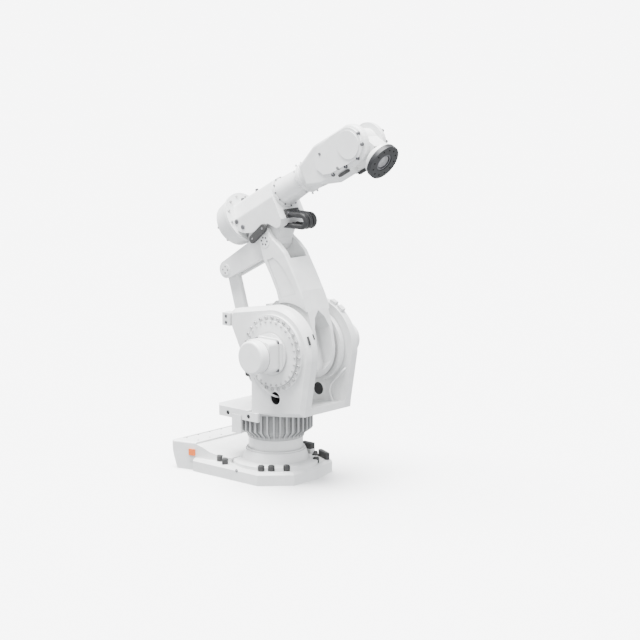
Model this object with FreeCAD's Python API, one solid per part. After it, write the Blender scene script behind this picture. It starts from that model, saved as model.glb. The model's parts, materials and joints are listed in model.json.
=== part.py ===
"""A heavy six-axis factory robot arm on its bolted-down base, with a linkage that drives the upper arm.

Millimetres. +X is forward, +Y is the robot's left, +Z is up. The origin is on the floor, on the
turning axis of the column. The arm is in its stored pose: lower arm leaning back, upper arm raised.
"""

import FreeCAD, Part  # FreeCAD first: Part needs it loaded

import math
import os

V = FreeCAD.Vector
PARTS = "parts"

# ---- clearances -------------------------------------------------------------------------------
FIT = 0.3            # gap between a turning piece and the face that carries it
PLAY = 0.05          # running clearance of a pin in its bore, on the radius
RUN = 6.0            # side gap between parts that swing past each other

# ---- kinematics -------------------------------------------------------------------------------
SHOULDER_X = 305.0   # axis 2, ahead of the turning axis
SHOULDER_Z = 1225.0
LOWER_LENGTH = 1000.0
LOWER_LEAN = 16.8    # degrees, leaning back from upright
UPPER_TILT = 29.0    # degrees, forearm axis above level
UPPER_OFFSET = 330.0  # forearm axis above the elbow
UPPER_REACH = 1330.0  # elbow to wrist, along the forearm axis
TOOL_TILT = 29.0     # degrees, tool axis below level
TOOL_REACH = 305.0   # wrist centre to tool face
LINK_LENGTH = 635.0  # rear lever and crank
LINK_ANGLE = 30.8    # degrees, lever below level, pointing back

# ---- base -------------------------------------------------------------------------------------
PLATE_THICK = 122.0
PLATE_FRONT = 415.0
PLATE_HALF = 440.0
PLATE_CORNER = 235.0  # corner cut of the right front
PLATE_LEFT = ((415.0, 119.0), (322.0, 415.0), (292.0, 440.0))  # left front corner, cut less
PLATE_REAR = -640.0
PLATE_BEVEL = 24.0
ANCHOR_R = 17.0
ANCHOR_FRONT = ((318.0, 198.0), (220.0, 296.0), (155.0, 361.0))
ANCHOR_REAR = ((-381.0, 345.0), (-270.0, 392.0))
POCKET_R = 32.0
POCKET_RISE = 34.0   # flat sides of an arched pocket
FAIRING_FRONT = -250.0
FAIRING_HALF = (395.0, 330.0)  # at the connector box and at the cone
FAIRING_SIDE = ((0.0, 246.0), (70.0, 226.0), (150.0, 192.0), (250.0, 172.0), (390.0, 168.0))
SHOULDER_R = 395.0   # low round shoulder of the pedestal
SHOULDER_FOOT = 30.0
CONE_LOW_R = 305.0
CONE_LOW_Z = 168.0
CONE_TOP_R = 268.0
CONE_TOP_Z = 268.0
NECK_R = 250.0
RING_LOW_Z = 372.0
RING_GAP = 5.0
SPIGOT_R = 225.0
SPIGOT_TOP_Z = 470.0
STOP_SIDE = (40.0, 165.0, 292.0, 350.0, 206.0, 262.0)  # low and high x, y and z
STOP_CORNER = (243.0, 389.0)
STOP_TURN = -24.0
STOP_LENGTH = 190.0
STOP_WIDTH = 44.0
STOP_HEIGHT = 64.0
BOX_REAR = -905.0
BOX_HALF_FRONT = 400.0
BOX_HALF_REAR = 470.0
BOX_TOP = 262.0
BOX_EDGE_R = 34.0
BOX_TOP_R = 16.0
SOCKET_RECESS = (66.0, 230.0, 64.0, 196.0)  # in the rear face: depth, half width, low and high z
LID_THICK = 16.0
LID_GAP = 8.0
LID_MARGIN = (30.0, 42.0, 60.0)  # from the rear, front and side of the box
BOX_SLANT = 72.0     # how far its rear face leans in at the floor
RELEASE_SIZE = 66.0  # brake-release button and its tag plate
RELEASE_THICK = 14.0
RELEASE_X = -676.0
RELEASE_Z = 170.0
TAG_DROP = 66.0
TAG_THICK = 4.0

# ---- turning column ---------------------------------------------------------------------------
RING_TOP_Z = 640.0
RING_R = 344.0
RING_LOW_R = 260.0
RING_WAIST_R = 270.0
RING_WAIST_Z = 404.0
RING_SHOULDER_Z = 455.0
RING_CORE_IN = 30.0  # ribs stand this far out of the core
RIB_COUNT = 36
RIB_THICK = 17.0
SIDE_IN = 230.0      # inner face of each column side
SIDE_OUT = 340.0
SIDE_R = 420.0       # round head about the shoulder
FLOOR_TOP_Z = 745.0
FLOOR_REAR_Z = 665.0
FLOOR_FRONT = 640.0
FLOOR_LIP = 62.0     # height of the floor's front edge
COLUMN_REAR = -12.0
SIDE_BEVEL = 35.0
GEAR_R = 346.0
GEAR_STEP_R = 300.0
GEAR_THICK = 26.0
GEAR_STEP = 18.0
MOTOR_SEAT_R = 188.0
MOTOR_SEAT = 16.0
MOTOR_FLANGE = 304.0
MOTOR_FLANGE_THICK = 30.0
MOTOR_BODY = 276.0
MOTOR_BODY_LENGTH = 130.0
MOTOR_CAP_R = 150.0
MOTOR_CAP_LENGTH = 98.0
SHELF_REAR = -445.0
SHELF_FRONT = 110.0
SHELF_LOW_Z = 560.0
SHELF_TOP_Z = 652.0
SHELF_HALF = 356.0
SHELF_HOLE_R = 20.0
SHELF_HOLES_X = (-264.0, -5.0)
SHELF_HOLE_Z = 600.0
GUARD = (-205.0, -92.0, -366.0, -348.0, 430.0, 600.0)  # low and high x, y and z
SLEW_MOTOR_X = -392.0
SLEW_MOTOR_Y = -50.0
SLEW_MOTOR_R = 46.0
SLEW_MOTOR_LOW_Z = 345.0
CORNER_X = -255.0    # rear top corner of a column side
EAR_LENGTH = 92.0
EAR_LOW_Z = 1398.0
EAR_HEIGHT = 116.0
EAR_THICK = 92.0
BUMPER_R = 34.0
BUMPER_Z = 985.0
BUMPER_OUT = 36.0
RIM_ANGLES = (55.0, 68.0)
RIM_BLOCK = 30.0      # half width
RIM_OUT = 26.0
PORT_X = 318.0       # cable port in the column side
PORT_Z = 815.0
PORT_R = 58.0
PLUG_THICK = 14.0
CABLE_R = 9.0
MOTOR_CABLE = (       # from under the right motor into the port, all by way of free air
    (205, -495, 1087), (205, -492, 1048), (192, -450, 985), (203, -404, 925), (245, -388, 884),
    (290, -364, 850), (318, -318, 826), (322, -246, 820),
)
FLOOR_CABLE = (       # down the inside of the left column side to the floor
    (646, 240, 1048), (640, 214, 1036), (575, 208, 968), (505, 208, 896), (476, 208, 815),
    (500, 208, 750), (520, 208, 700),
)

# ---- lower arm --------------------------------------------------------------------------------
ARM_HALF = 155.0
WEB_HALF = 135.0
HUB_R = 300.0
CHEEK_R = 428.0      # lower edge of the arm's cheeks, about the shoulder
EAR_IN = 104.0
EAR_TOP_R = 87.0
SLOT_LOW = 205.0     # bottom of the fork slot, below the elbow
NEAR_BOSS_R = 196.0
FAR_BOSS_R = 150.0
ELBOW_PIN_R = 55.0
ELBOW_CAP_R = 60.0
ELBOW_CAP = 5.0
POCKET_HALF = 98.0
POCKET_LOW = -150.0
POCKET_ARCH = 190.0
POCKET_BACK = 150.0
ARM_ROUND = 16.0
PANEL_DEPTH = 7.0
PANEL = ((42.0, 470.0), (30.0, 590.0), (0.0, 730.0), (-22.0, 830.0), (60.0, 838.0),
         (122.0, 770.0), (176.0, 660.0), (214.0, 560.0), (236.0, 470.0))

# ---- crank, rod -------------------------------------------------------------------------------
CRANK_IN = 175.0
CRANK_OUT = 224.0
CRANK_R = 335.0
CRANK_END_R = 72.0
CRANK_GROOVES = ((262.0, 296.0), (196.0, 222.0))
CRANK_GROOVE = 12.0
LINK_PIN_R = 38.0
ROD_HALF = 34.0
ROD_WIDTH = 132.0
ROD_END_R = 76.0
CLEVIS_IN = 42.0
LEVER_HALF = EAR_IN - RUN
LEVER_END_R = 80.0

# ---- upper arm, along the forearm axis --------------------------------------------------------
HOUSE_HALF = 166.0
HOUSE_FRONT = 290.0
HOUSE_REAR = -245.0
HOUSE_TOP = 128.0
HOUSE_TOP_HALF = 96.0
HOUSE_ROUND = 40.0
HOUSE_CLEAR_R = 124.0  # about the elbow
DRUM_R = 238.0
DRUM_REAR = -425.0
DRUM_RIM = 30.0
REAR_COVER_R = 205.0
REAR_COVER = 22.0
PAD_LENGTH = 250.0
PAD_HEIGHT = 76.0
PAD_THICK = 24.0
PAD_CENTRE = (-22.0, -246.0)
PAD_TURN = 12.0
HOSE_R = 25.0
HOSE_PITCH = 55.0
HOSE_START = (HOUSE_FRONT - 40.0, -178.0)
HOSE_RUN = 215.0
HOSE_BEND_R = 52.0
TUBE_R = 122.0
TUBE_FLANGE_R = 158.0
TUBE_FLANGE = 30.0
TUBE_WAIST_R = 112.0
TUBE_END = 640.0
FORK_START = 690.0
FORK_HALF = 150.0
FORK_IN = 88.0
FORK_WIDTH = 172.0
FORK_ROUND = 30.0
FORK_CROTCH = 1120.0
WRIST_PLATE = 16.0
WRIST_CAP_R = 122.0
WRIST_CAP = 10.0

# ---- tool end ---------------------------------------------------------------------------------
BEND_R = 128.0
BEND_NOSE_R = 150.0
TOOL_DISC_R = 163.0
TOOL_DISC = 42.0
TOOL_PCD = 250.0
TOOL_BOLTS = 12
TOOL_HOLE_R = 8.0
TOOL_BORE_R = 80.0
TOOL_BORE_DEEP = 20.0


# ---- frames of reference ----------------------------------------------------------------------
def turn(degrees):
    """Cosine and sine of an angle in degrees."""
    return math.cos(math.radians(degrees)), math.sin(math.radians(degrees))


LEAN_C, LEAN_S = turn(LOWER_LEAN)
TILT_C, TILT_S = turn(UPPER_TILT)
LINK_C, LINK_S = turn(LINK_ANGLE)
SHOULDER = V(SHOULDER_X, 0, SHOULDER_Z)
ELBOW = SHOULDER + V(-LOWER_LENGTH * LEAN_S, 0, LOWER_LENGTH * LEAN_C)
FOREARM = ELBOW + V(-UPPER_OFFSET * TILT_S, 0, UPPER_OFFSET * TILT_C)
WRIST = FOREARM + V(UPPER_REACH * TILT_C, 0, UPPER_REACH * TILT_S)
LEVER = V(-LINK_LENGTH * LINK_C, 0, -LINK_LENGTH * LINK_S)
CLEVIS_PIN = ELBOW + LEVER
CRANK_PIN = SHOULDER + LEVER


def placed(shape, origin, pitch):
    """The shape turned nose-up by pitch degrees about Y and moved to origin."""
    out = shape.copy()
    out.Placement = FreeCAD.Placement(origin, FreeCAD.Rotation(V(0, 1, 0), -pitch))
    return out


def in_lower_arm(shape):
    """Local X ahead of the arm, local Z up along it, from the shoulder."""
    return placed(shape, SHOULDER, LOWER_LEAN)


def in_forearm(shape):
    """Local X along the forearm axis, from the point square above the elbow."""
    return placed(shape, FOREARM, UPPER_TILT)


def in_tool(shape):
    """Local X along the tool axis, from the wrist centre."""
    return placed(shape, WRIST, -TOOL_TILT)


# ---- shape helpers ----------------------------------------------------------------------------
def wire_face(points):
    """A flat face from corner points."""
    return Part.Face(Part.makePolygon([V(*p) for p in points] + [V(*points[0])]))


def plate_y(points, y_low, y_high):
    """An x-z outline swept from y_low to y_high."""
    face = wire_face([(x, y_low, z) for x, z in points])
    return face.extrude(V(0, y_high - y_low, 0))


def plate_z(points, z_low, z_high):
    """An x-y outline swept from z_low to z_high."""
    face = wire_face([(x, y, z_low) for x, y in points])
    return face.extrude(V(0, 0, z_high - z_low))


def bar_x(points, x_low, x_high):
    """A y-z outline swept from x_low to x_high."""
    face = wire_face([(x_low, y, z) for y, z in points])
    return face.extrude(V(x_high - x_low, 0, 0))


def disc_y(x, z, radius, y_low, y_high):
    """A round disc or shaft across the robot."""
    return Part.makeCylinder(radius, y_high - y_low, V(x, y_low, z), V(0, 1, 0))


def disc_x(radius, x_low, x_high, y=0.0, z=0.0):
    """A round disc or shaft along local X."""
    return Part.makeCylinder(radius, x_high - x_low, V(x_low, y, z), V(1, 0, 0))


def disc_z(x, y, radius, z_low, z_high):
    """An upright round disc or shaft."""
    return Part.makeCylinder(radius, z_high - z_low, V(x, y, z_low), V(0, 0, 1))


def cone_x(r_low, r_high, x_low, x_high):
    """A taper along local X."""
    if abs(r_low - r_high) < 1e-6:
        return disc_x(r_low, x_low, x_high)
    return Part.makeCone(r_low, r_high, x_high - x_low, V(x_low, 0, 0), V(1, 0, 0))


def box(x_low, x_high, y_low, y_high, z_low, z_high):
    """A square block from its limits."""
    return Part.makeBox(x_high - x_low, y_high - y_low, z_high - z_low, V(x_low, y_low, z_low))


def revolve_z(points):
    """An r-z outline turned about the column axis."""
    face = wire_face([(r, 0, z) for r, z in points])
    return face.revolve(V(0, 0, 0), V(0, 0, 1), 360)


def arc_points(cx, cz, radius, start, end, steps):
    """Points on an arc, angles in degrees."""
    out = []
    for i in range(steps + 1):
        c, s = turn(start + (end - start) * i / steps)
        out.append((cx + radius * c, cz + radius * s))
    return out


def capsule_y(x1, z1, r1, x2, z2, r2, y_low, y_high):
    """Two round ends joined by their outer tangents, swept across the robot."""
    dx, dz = x2 - x1, z2 - z1
    span = math.hypot(dx, dz)
    heading = math.degrees(math.atan2(dz, dx))
    spread = math.degrees(math.acos((r1 - r2) / span))
    points = []
    for centre, radius, sign in (((x1, z1), r1, 1), ((x2, z2), r2, 1), ((x2, z2), r2, -1), ((x1, z1), r1, -1)):
        c, s = turn(heading + sign * spread)
        points.append((centre[0] + radius * c, centre[1] + radius * s))
    body = plate_y(points, y_low, y_high)
    return fuse([body, disc_y(x1, z1, r1, y_low, y_high), disc_y(x2, z2, r2, y_low, y_high)])


def fuse(shapes):
    """One solid from shapes that overlap or touch."""
    out = shapes[0]
    if len(shapes) > 1:
        out = out.fuse(shapes[1:])
    return out.removeSplitter()


def cut(shape, *tools):
    """The shape with the tools taken out of it."""
    return shape.cut(list(tools)).removeSplitter()


def bevel(shape, size, wanted):
    """The shape with a flat bevel on each edge that wanted picks."""
    edges = [e for e in shape.Edges if wanted(e)]
    return shape.makeChamfer(size, edges) if edges else shape


def rounded(shape, radius, wanted):
    """The shape with a round on each edge that wanted picks."""
    edges = [e for e in shape.Edges if wanted(e)]
    return shape.makeFillet(radius, edges) if edges else shape


def mirrored(shape):
    """The same piece on the other side of the robot."""
    return shape.mirror(V(0, 0, 0), V(0, 1, 0))


def upright(edge):
    """True for a straight vertical edge."""
    a, b = edge.Vertexes[0].Point, edge.Vertexes[-1].Point
    return abs(a.x - b.x) < 1e-6 and abs(a.y - b.y) < 1e-6 and abs(a.z - b.z) > 1e-6


def on_y(edge, y):
    """True if the whole edge lies at that y."""
    return abs(edge.BoundBox.YMin - y) < 1e-4 and abs(edge.BoundBox.YMax - y) < 1e-4


# ---- base -------------------------------------------------------------------------------------
def anchor_places():
    """Centres of the anchor holes, three at each front corner and two at each side."""
    return [(x, side * y) for x, y in ANCHOR_FRONT + ANCHOR_REAR for side in (-1, 1)]


def base_plate():
    """Floor plate with cut front corners and anchor holes."""
    outline = [
        (PLATE_REAR, -PLATE_HALF), (PLATE_FRONT - PLATE_CORNER, -PLATE_HALF),
        (PLATE_FRONT, -PLATE_HALF + PLATE_CORNER), *PLATE_LEFT, (PLATE_REAR, PLATE_HALF),
    ]
    plate = plate_z(outline, 0, PLATE_THICK)
    plate = bevel(plate, PLATE_BEVEL, lambda e: e.BoundBox.ZMin > PLATE_THICK - 1 and e.BoundBox.XMax > PLATE_REAR + 1)
    return cut(plate, *[disc_z(x, y, ANCHOR_R, -1, PLATE_THICK + 1) for x, y in anchor_places()])


def arched_pocket(x, y):
    """Arched recess over a front anchor hole, open towards the cut corner."""
    outward = V(1, math.copysign(1, y), 0).normalize()
    across = V(-outward.y, outward.x, 0)
    foot = V(x, y, PLATE_THICK) - outward * POCKET_R
    low = [foot - across * POCKET_R, foot + across * POCKET_R]
    face = Part.Face(Part.makePolygon([
        low[0], low[1], low[1] + V(0, 0, POCKET_RISE), low[0] + V(0, 0, POCKET_RISE), low[0]]))
    shaft = face.extrude(outward * 300)
    arch = Part.makeCylinder(POCKET_R, 300, foot + V(0, 0, POCKET_RISE), outward)
    return shaft.fuse(arch)


def fairing():
    """Sloping shoulder between the connector box and the cone."""
    side = [(PLATE_REAR, PLATE_THICK)]
    side += [(PLATE_REAR + x, z) for x, z in FAIRING_SIDE]
    side += [(FAIRING_FRONT, PLATE_THICK)]
    low, high = FAIRING_HALF
    plan = [(PLATE_REAR, -low), (FAIRING_FRONT, -high), (FAIRING_FRONT, high), (PLATE_REAR, low)]
    body = plate_y(side, -PLATE_HALF, PLATE_HALF)
    return body.common(plate_z(plan, PLATE_THICK, BOX_TOP))


def pedestal():
    """Cone, neck and fairing that carry the column, with the spigot that it turns on."""
    turned = revolve_z([
        (0, PLATE_THICK), (SHOULDER_R, PLATE_THICK), (SHOULDER_R, PLATE_THICK + SHOULDER_FOOT),
        (SHOULDER_R - 12, CONE_LOW_Z - 8), (CONE_LOW_R, CONE_LOW_Z), (CONE_TOP_R + 8, CONE_TOP_Z - 16),
        (CONE_TOP_R, CONE_TOP_Z - 16), (CONE_TOP_R, CONE_TOP_Z),
        (NECK_R, CONE_TOP_Z), (NECK_R, RING_LOW_Z - RING_GAP), (SPIGOT_R, RING_LOW_Z - RING_GAP),
        (SPIGOT_R, SPIGOT_TOP_Z), (0, SPIGOT_TOP_Z),
    ])
    tools = []
    for x, y in anchor_places():
        if x > 0:
            tools.append(arched_pocket(x, y))
        else:
            tools.append(disc_z(x, y, POCKET_R, PLATE_THICK, BOX_TOP))
    x1, x2, y1, y2, z1, _ = STOP_SIDE
    bracket = box(x1, x2, y1, y2, PLATE_THICK, z1)
    return cut(fuse([turned, fairing(), bracket]), *tools)


def slewing_stops():
    """Two rubber stop blocks at the left of the pedestal."""
    side = box(*STOP_SIDE)
    corner = box(-STOP_LENGTH / 2, STOP_LENGTH / 2, -STOP_WIDTH / 2, STOP_WIDTH / 2, 0, STOP_HEIGHT)
    corner = rounded(corner, 20, upright)
    corner.Placement = FreeCAD.Placement(V(*STOP_CORNER, PLATE_THICK), FreeCAD.Rotation(V(0, 0, 1), STOP_TURN))
    return [rounded(s, 8, lambda e: e.BoundBox.ZMin > s.BoundBox.ZMax - 1) for s in (side, corner)]


def connector_box():
    """Rear box of the base, where the cables arrive, wider at its rear end."""
    outline = [
        (PLATE_REAR, -BOX_HALF_FRONT), (BOX_REAR, -BOX_HALF_REAR),
        (BOX_REAR, BOX_HALF_REAR), (PLATE_REAR, BOX_HALF_FRONT),
    ]
    body = plate_z(outline, 0, BOX_TOP)
    body = rounded(body, BOX_EDGE_R, lambda e: upright(e) and e.BoundBox.XMax < PLATE_REAR - 1)
    body = rounded(body, BOX_TOP_R, lambda e: e.BoundBox.ZMin > BOX_TOP - 1 and e.BoundBox.XMin < PLATE_REAR - 1)
    slant = plate_y([
        (BOX_REAR - 1, -1), (BOX_REAR + BOX_SLANT, -1), (BOX_REAR - 1, BOX_TOP - BOX_TOP_R - 2)],
        -BOX_HALF_REAR - 1, BOX_HALF_REAR + 1)
    channel = lid_space(0, BOX_TOP + 1)
    deep, half, low, high = SOCKET_RECESS
    recess = box(BOX_REAR - 1, BOX_REAR + deep, -half, half, low, high)
    recess = rounded(recess, 18, lambda e: e.BoundBox.XLength > deep)
    return cut(body, slant, channel, recess)


def side_tilt():
    """Turn of the connector box's right side, which widens to the rear."""
    return math.degrees(math.atan2(BOX_HALF_REAR - BOX_HALF_FRONT, PLATE_REAR - BOX_REAR))


def on_box_side(x, z, width, height, thick):
    """A small plate on the right side of the connector box, centred at x and z."""
    plate = box(-width / 2, width / 2, -thick, 0, -height / 2, height / 2)
    tilt = side_tilt()
    y = -BOX_HALF_FRONT - (PLATE_REAR - x) * math.tan(math.radians(tilt))
    plate.Placement = FreeCAD.Placement(V(x, y, z), FreeCAD.Rotation(V(0, 0, 1), tilt))
    return plate


def release_button():
    """Brake-release button on the right side of the connector box."""
    return on_box_side(RELEASE_X, RELEASE_Z, RELEASE_SIZE, RELEASE_SIZE * 0.9, RELEASE_THICK)


def release_tag():
    """Blank tag plate under the brake-release button."""
    return on_box_side(RELEASE_X, RELEASE_Z - TAG_DROP, RELEASE_SIZE * 0.8, RELEASE_SIZE * 0.8, TAG_THICK)


def lid_space(gap, top):
    """Room of the lid in the connector box, less a gap all round."""
    rear, front, side = LID_MARGIN
    half = BOX_HALF_FRONT - side - gap
    return box(BOX_REAR + rear + gap, PLATE_REAR - front - gap, -half, half, BOX_TOP - LID_THICK, top)


def box_lid():
    """Flush lid in the top of the connector box."""
    return lid_space(LID_GAP, BOX_TOP - 3)


# ---- turning column ---------------------------------------------------------------------------
def slewing_ring():
    """Ribbed ring under the column, bored for the spigot."""
    core = revolve_z([
        (SPIGOT_R + PLAY, RING_LOW_Z), (RING_LOW_R, RING_LOW_Z), (RING_LOW_R, RING_LOW_Z + 16),
        (RING_WAIST_R - 12, RING_WAIST_Z),
        (RING_R - RING_CORE_IN, RING_SHOULDER_Z), (RING_R - RING_CORE_IN, RING_TOP_Z - 22),
        (RING_R, RING_TOP_Z - 22), (RING_R, RING_TOP_Z), (0, RING_TOP_Z),
        (0, SPIGOT_TOP_Z + FIT), (SPIGOT_R + PLAY, SPIGOT_TOP_Z + FIT),
    ])
    rib_profile = [
        (RING_LOW_R - 28, RING_LOW_Z + 8), (RING_LOW_R, RING_LOW_Z + 8), (RING_WAIST_R, RING_WAIST_Z),
        (RING_R - 3, RING_SHOULDER_Z), (RING_R - 3, RING_TOP_Z - 22), (RING_R - RING_CORE_IN - 20, RING_TOP_Z - 22),
        (RING_R - RING_CORE_IN - 20, RING_SHOULDER_Z),
    ]
    rib = plate_y(rib_profile, -RIB_THICK / 2, RIB_THICK / 2)
    ribs = []
    for i in range(RIB_COUNT):
        piece = rib.copy()
        piece.rotate(V(0, 0, 0), V(0, 0, 1), 360.0 * i / RIB_COUNT)
        ribs.append(piece)
    return fuse([core] + ribs)


def cable(points, cutter):
    """A fixed cable through the points, trimmed flush with the cutter."""
    curve = Part.BSplineCurve()
    curve.interpolate([V(*p) for p in points])
    path = Part.Wire([curve.toShape()])
    start = V(*points[0])
    ring = Part.Wire([Part.makeCircle(CABLE_R, start, curve.tangent(curve.FirstParameter)[0])])
    solids = path.makePipeShell([ring], True, True).cut(cutter).Solids
    return max(solids, key=lambda s: s.Volume)


def column_cables():
    """Both motor cables, and the cable from the left column side to the floor."""
    right = cable(MOTOR_CABLE, fuse([drive_motor(), port_plug()]))
    inner = cable(FLOOR_CABLE, fuse([mirrored(column_side()), column_floor()]))
    return [right, mirrored(right), inner]


def port_plug():
    """Plug at the inner end of the right cable port, where the motor cable goes through."""
    return disc_y(PORT_X, PORT_Z, PORT_R, -SIDE_IN - 2 - PLUG_THICK, -SIDE_IN - 2)


def side_outline():
    """Outline of a column side, seen from the right."""
    head = arc_points(SHOULDER_X, SHOULDER_Z, SIDE_R, -4, 104, 24)
    return [
        (COLUMN_REAR, RING_TOP_Z), (RING_R - 10, RING_TOP_Z), (FLOOR_FRONT, FLOOR_TOP_Z - FLOOR_LIP),
        (FLOOR_FRONT + 6, FLOOR_TOP_Z), *head,
        (-210, 1562), (CORNER_X, 1525), (CORNER_X, 1398), (-84, 1063), (COLUMN_REAR, 925),
    ]


def column_side():
    """Right side of the column, bevelled outside, with its cable port."""
    body = plate_y(side_outline(), -SIDE_OUT, -SIDE_IN)
    body = bevel(body, SIDE_BEVEL, lambda e: on_y(e, -SIDE_OUT) and e.BoundBox.ZMax > RING_TOP_Z + 1)
    port = disc_y(PORT_X, PORT_Z, PORT_R, -SIDE_OUT - 1, -SIDE_IN + 1)
    return cut(body, port)


def column_floor():
    """Floor of the column between its sides, falling to the rear."""
    outline = [
        (COLUMN_REAR, RING_TOP_Z), (RING_R - 10, RING_TOP_Z), (FLOOR_FRONT, FLOOR_TOP_Z - FLOOR_LIP),
        (FLOOR_FRONT, FLOOR_TOP_Z), (COLUMN_REAR, FLOOR_REAR_Z),
    ]
    return plate_y(outline, -SIDE_IN, SIDE_IN)


def gear_flange():
    """Stepped gear flange on the right side of the column, round the shoulder axis."""
    y = -SIDE_OUT
    return fuse([
        disc_y(SHOULDER_X, SHOULDER_Z, GEAR_R, y - GEAR_THICK, y),
        disc_y(SHOULDER_X, SHOULDER_Z, GEAR_STEP_R, y - GEAR_THICK - GEAR_STEP, y - GEAR_THICK),
        disc_y(SHOULDER_X, SHOULDER_Z, MOTOR_SEAT_R, y - GEAR_THICK - GEAR_STEP - MOTOR_SEAT,
               y - GEAR_THICK - GEAR_STEP),
    ])


MOTOR_Y = -SIDE_OUT - GEAR_THICK - GEAR_STEP - MOTOR_SEAT


def drive_motor():
    """Square motor body and flange on the right gear."""
    half, y1 = MOTOR_FLANGE / 2, MOTOR_Y - MOTOR_FLANGE_THICK
    flange = box(SHOULDER_X - half, SHOULDER_X + half, y1, MOTOR_Y, SHOULDER_Z - half, SHOULDER_Z + half)
    flange = bevel(flange, 34, lambda e: abs(e.BoundBox.YLength - MOTOR_FLANGE_THICK) < 1e-4)
    half = MOTOR_BODY / 2
    body = box(SHOULDER_X - half, SHOULDER_X + half, y1 - MOTOR_BODY_LENGTH, y1,
               SHOULDER_Z - half, SHOULDER_Z + half)
    body = rounded(body, 40, lambda e: abs(e.BoundBox.YLength - MOTOR_BODY_LENGTH) < 1e-4)
    return fuse([flange, body])


def motor_cap():
    """Round end cap of the motor."""
    y1 = MOTOR_Y - MOTOR_FLANGE_THICK - MOTOR_BODY_LENGTH
    cap = disc_y(SHOULDER_X, SHOULDER_Z, MOTOR_CAP_R, y1 - MOTOR_CAP_LENGTH, y1)
    return rounded(cap, 22, lambda e: on_y(e, y1 - MOTOR_CAP_LENGTH))


def rear_shelf():
    """Shelf behind the column and beside its ring, with a guard plate at its right."""
    outline = [
        (SHELF_FRONT, -SHELF_HALF), (SHELF_FRONT, SHELF_HALF), (SHELF_REAR + 70, SHELF_HALF),
        (SHELF_REAR, SHELF_HALF - 70), (SHELF_REAR, -SHELF_HALF + 70), (SHELF_REAR + 70, -SHELF_HALF),
    ]
    body = plate_z(outline, SHELF_LOW_Z, SHELF_TOP_Z)
    guard = box(*GUARD)
    column_room = box(COLUMN_REAR, SHELF_FRONT + 1, -SHELF_HALF - 1, SHELF_HALF + 1, RING_TOP_Z, SHELF_TOP_Z + 1)
    ring_room = disc_z(0, 0, RING_R + 1, SHELF_LOW_Z - 1, RING_TOP_Z)
    holes = [disc_y(x, SHELF_HOLE_Z, SHELF_HOLE_R, side, side + 60)
             for x in SHELF_HOLES_X for side in (-SHELF_HALF - 1, SHELF_HALF - 59)]
    return cut(fuse([body, guard]), column_room, ring_room, *holes)


def slewing_motor():
    """Motor that hangs from the shelf and turns the column."""
    body = disc_z(SLEW_MOTOR_X, SLEW_MOTOR_Y, SLEW_MOTOR_R, SLEW_MOTOR_LOW_Z, SHELF_LOW_Z)
    return rounded(body, 12, lambda e: abs(e.BoundBox.ZMax - SLEW_MOTOR_LOW_Z) < 1e-4)


def rim_blocks():
    """Limit-switch blocks on the round rim of the left column side."""
    side = mirrored(column_side())
    blocks = []
    for angle in RIM_ANGLES:
        block = box(-RIM_BLOCK, RIM_BLOCK, SIDE_IN + 22, SIDE_OUT - SIDE_BEVEL - 4, SIDE_R - 30, SIDE_R + RIM_OUT)
        block.Placement = FreeCAD.Placement(SHOULDER, FreeCAD.Rotation(V(0, 1, 0), 90 - angle))
        blocks.append(block.cut(side))
    return blocks


def stop_ear():
    """Stop block at the rear top corner of the right column side."""
    x1, z1 = CORNER_X - EAR_LENGTH, EAR_LOW_Z
    return box(x1, CORNER_X, -SIDE_OUT + 6, -SIDE_OUT + 6 + EAR_THICK, z1, z1 + EAR_HEIGHT)


def column_bumper():
    """Rubber bumper on the rear edge of the right column side."""
    x = COLUMN_REAR - (BUMPER_Z - 925) * (84 + COLUMN_REAR) / (1063 - 925)
    y = (SIDE_IN + SIDE_OUT) / 2
    return disc_x(BUMPER_R, x - BUMPER_OUT, x + BUMPER_R, -y, BUMPER_Z).cut(column_side())


# ---- lower arm --------------------------------------------------------------------------------
def arm_outline():
    """Outline of the arm above the shoulder, in its own frame."""
    ear = arc_points(5, LOWER_LENGTH + 28, EAR_TOP_R, 60, 175, 10)
    return [
        (-120, 210), (-60, 330), (4, 420), (2, 540), (-32, 700), (-70, 830), *reversed(ear),
        (92, LOWER_LENGTH + 8), (150, LOWER_LENGTH - 62), (205, LOWER_LENGTH - 150), (262, 640), (298, 480),
        (314, 300), (318, 100), (296, -60),
        *arc_points(0, 0, HUB_R, -20, -200, 24),
    ]


def lower_arm():
    """Box-shaped arm casting, forked at the elbow, with a hub and a front pocket at the shoulder."""
    body = plate_y(arm_outline(), -ARM_HALF, ARM_HALF)
    body = rounded(body, ARM_ROUND, lambda e: (on_y(e, -ARM_HALF) or on_y(e, ARM_HALF)) and e.BoundBox.ZMin > 400)
    wide = ARM_HALF + 10
    tools = [
        disc_y(0, 0, CHEEK_R, -wide, -WEB_HALF), disc_y(0, 0, CHEEK_R, WEB_HALF, wide),
        box(-400, 500, -EAR_IN, EAR_IN, LOWER_LENGTH - SLOT_LOW, LOWER_LENGTH + 400),
        disc_y(0, LOWER_LENGTH, ELBOW_PIN_R, -wide, wide),
    ]
    arch = arc_points(0, POCKET_LOW, POCKET_HALF, 180, 360, 12)
    arch += [
        (POCKET_HALF, POCKET_ARCH - 60), (POCKET_HALF * 0.62, POCKET_ARCH + 40), (0, POCKET_ARCH + 100),
        (-POCKET_HALF * 0.62, POCKET_ARCH + 40), (-POCKET_HALF, POCKET_ARCH - 60),
    ]
    tools.append(bar_x(arch, POCKET_BACK, 500))
    for side in (-1, 1):
        y = side * ARM_HALF
        tools.append(plate_y(PANEL, min(y, y - side * PANEL_DEPTH), max(y, y - side * PANEL_DEPTH)))
    return in_lower_arm(cut(body, *tools))


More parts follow.
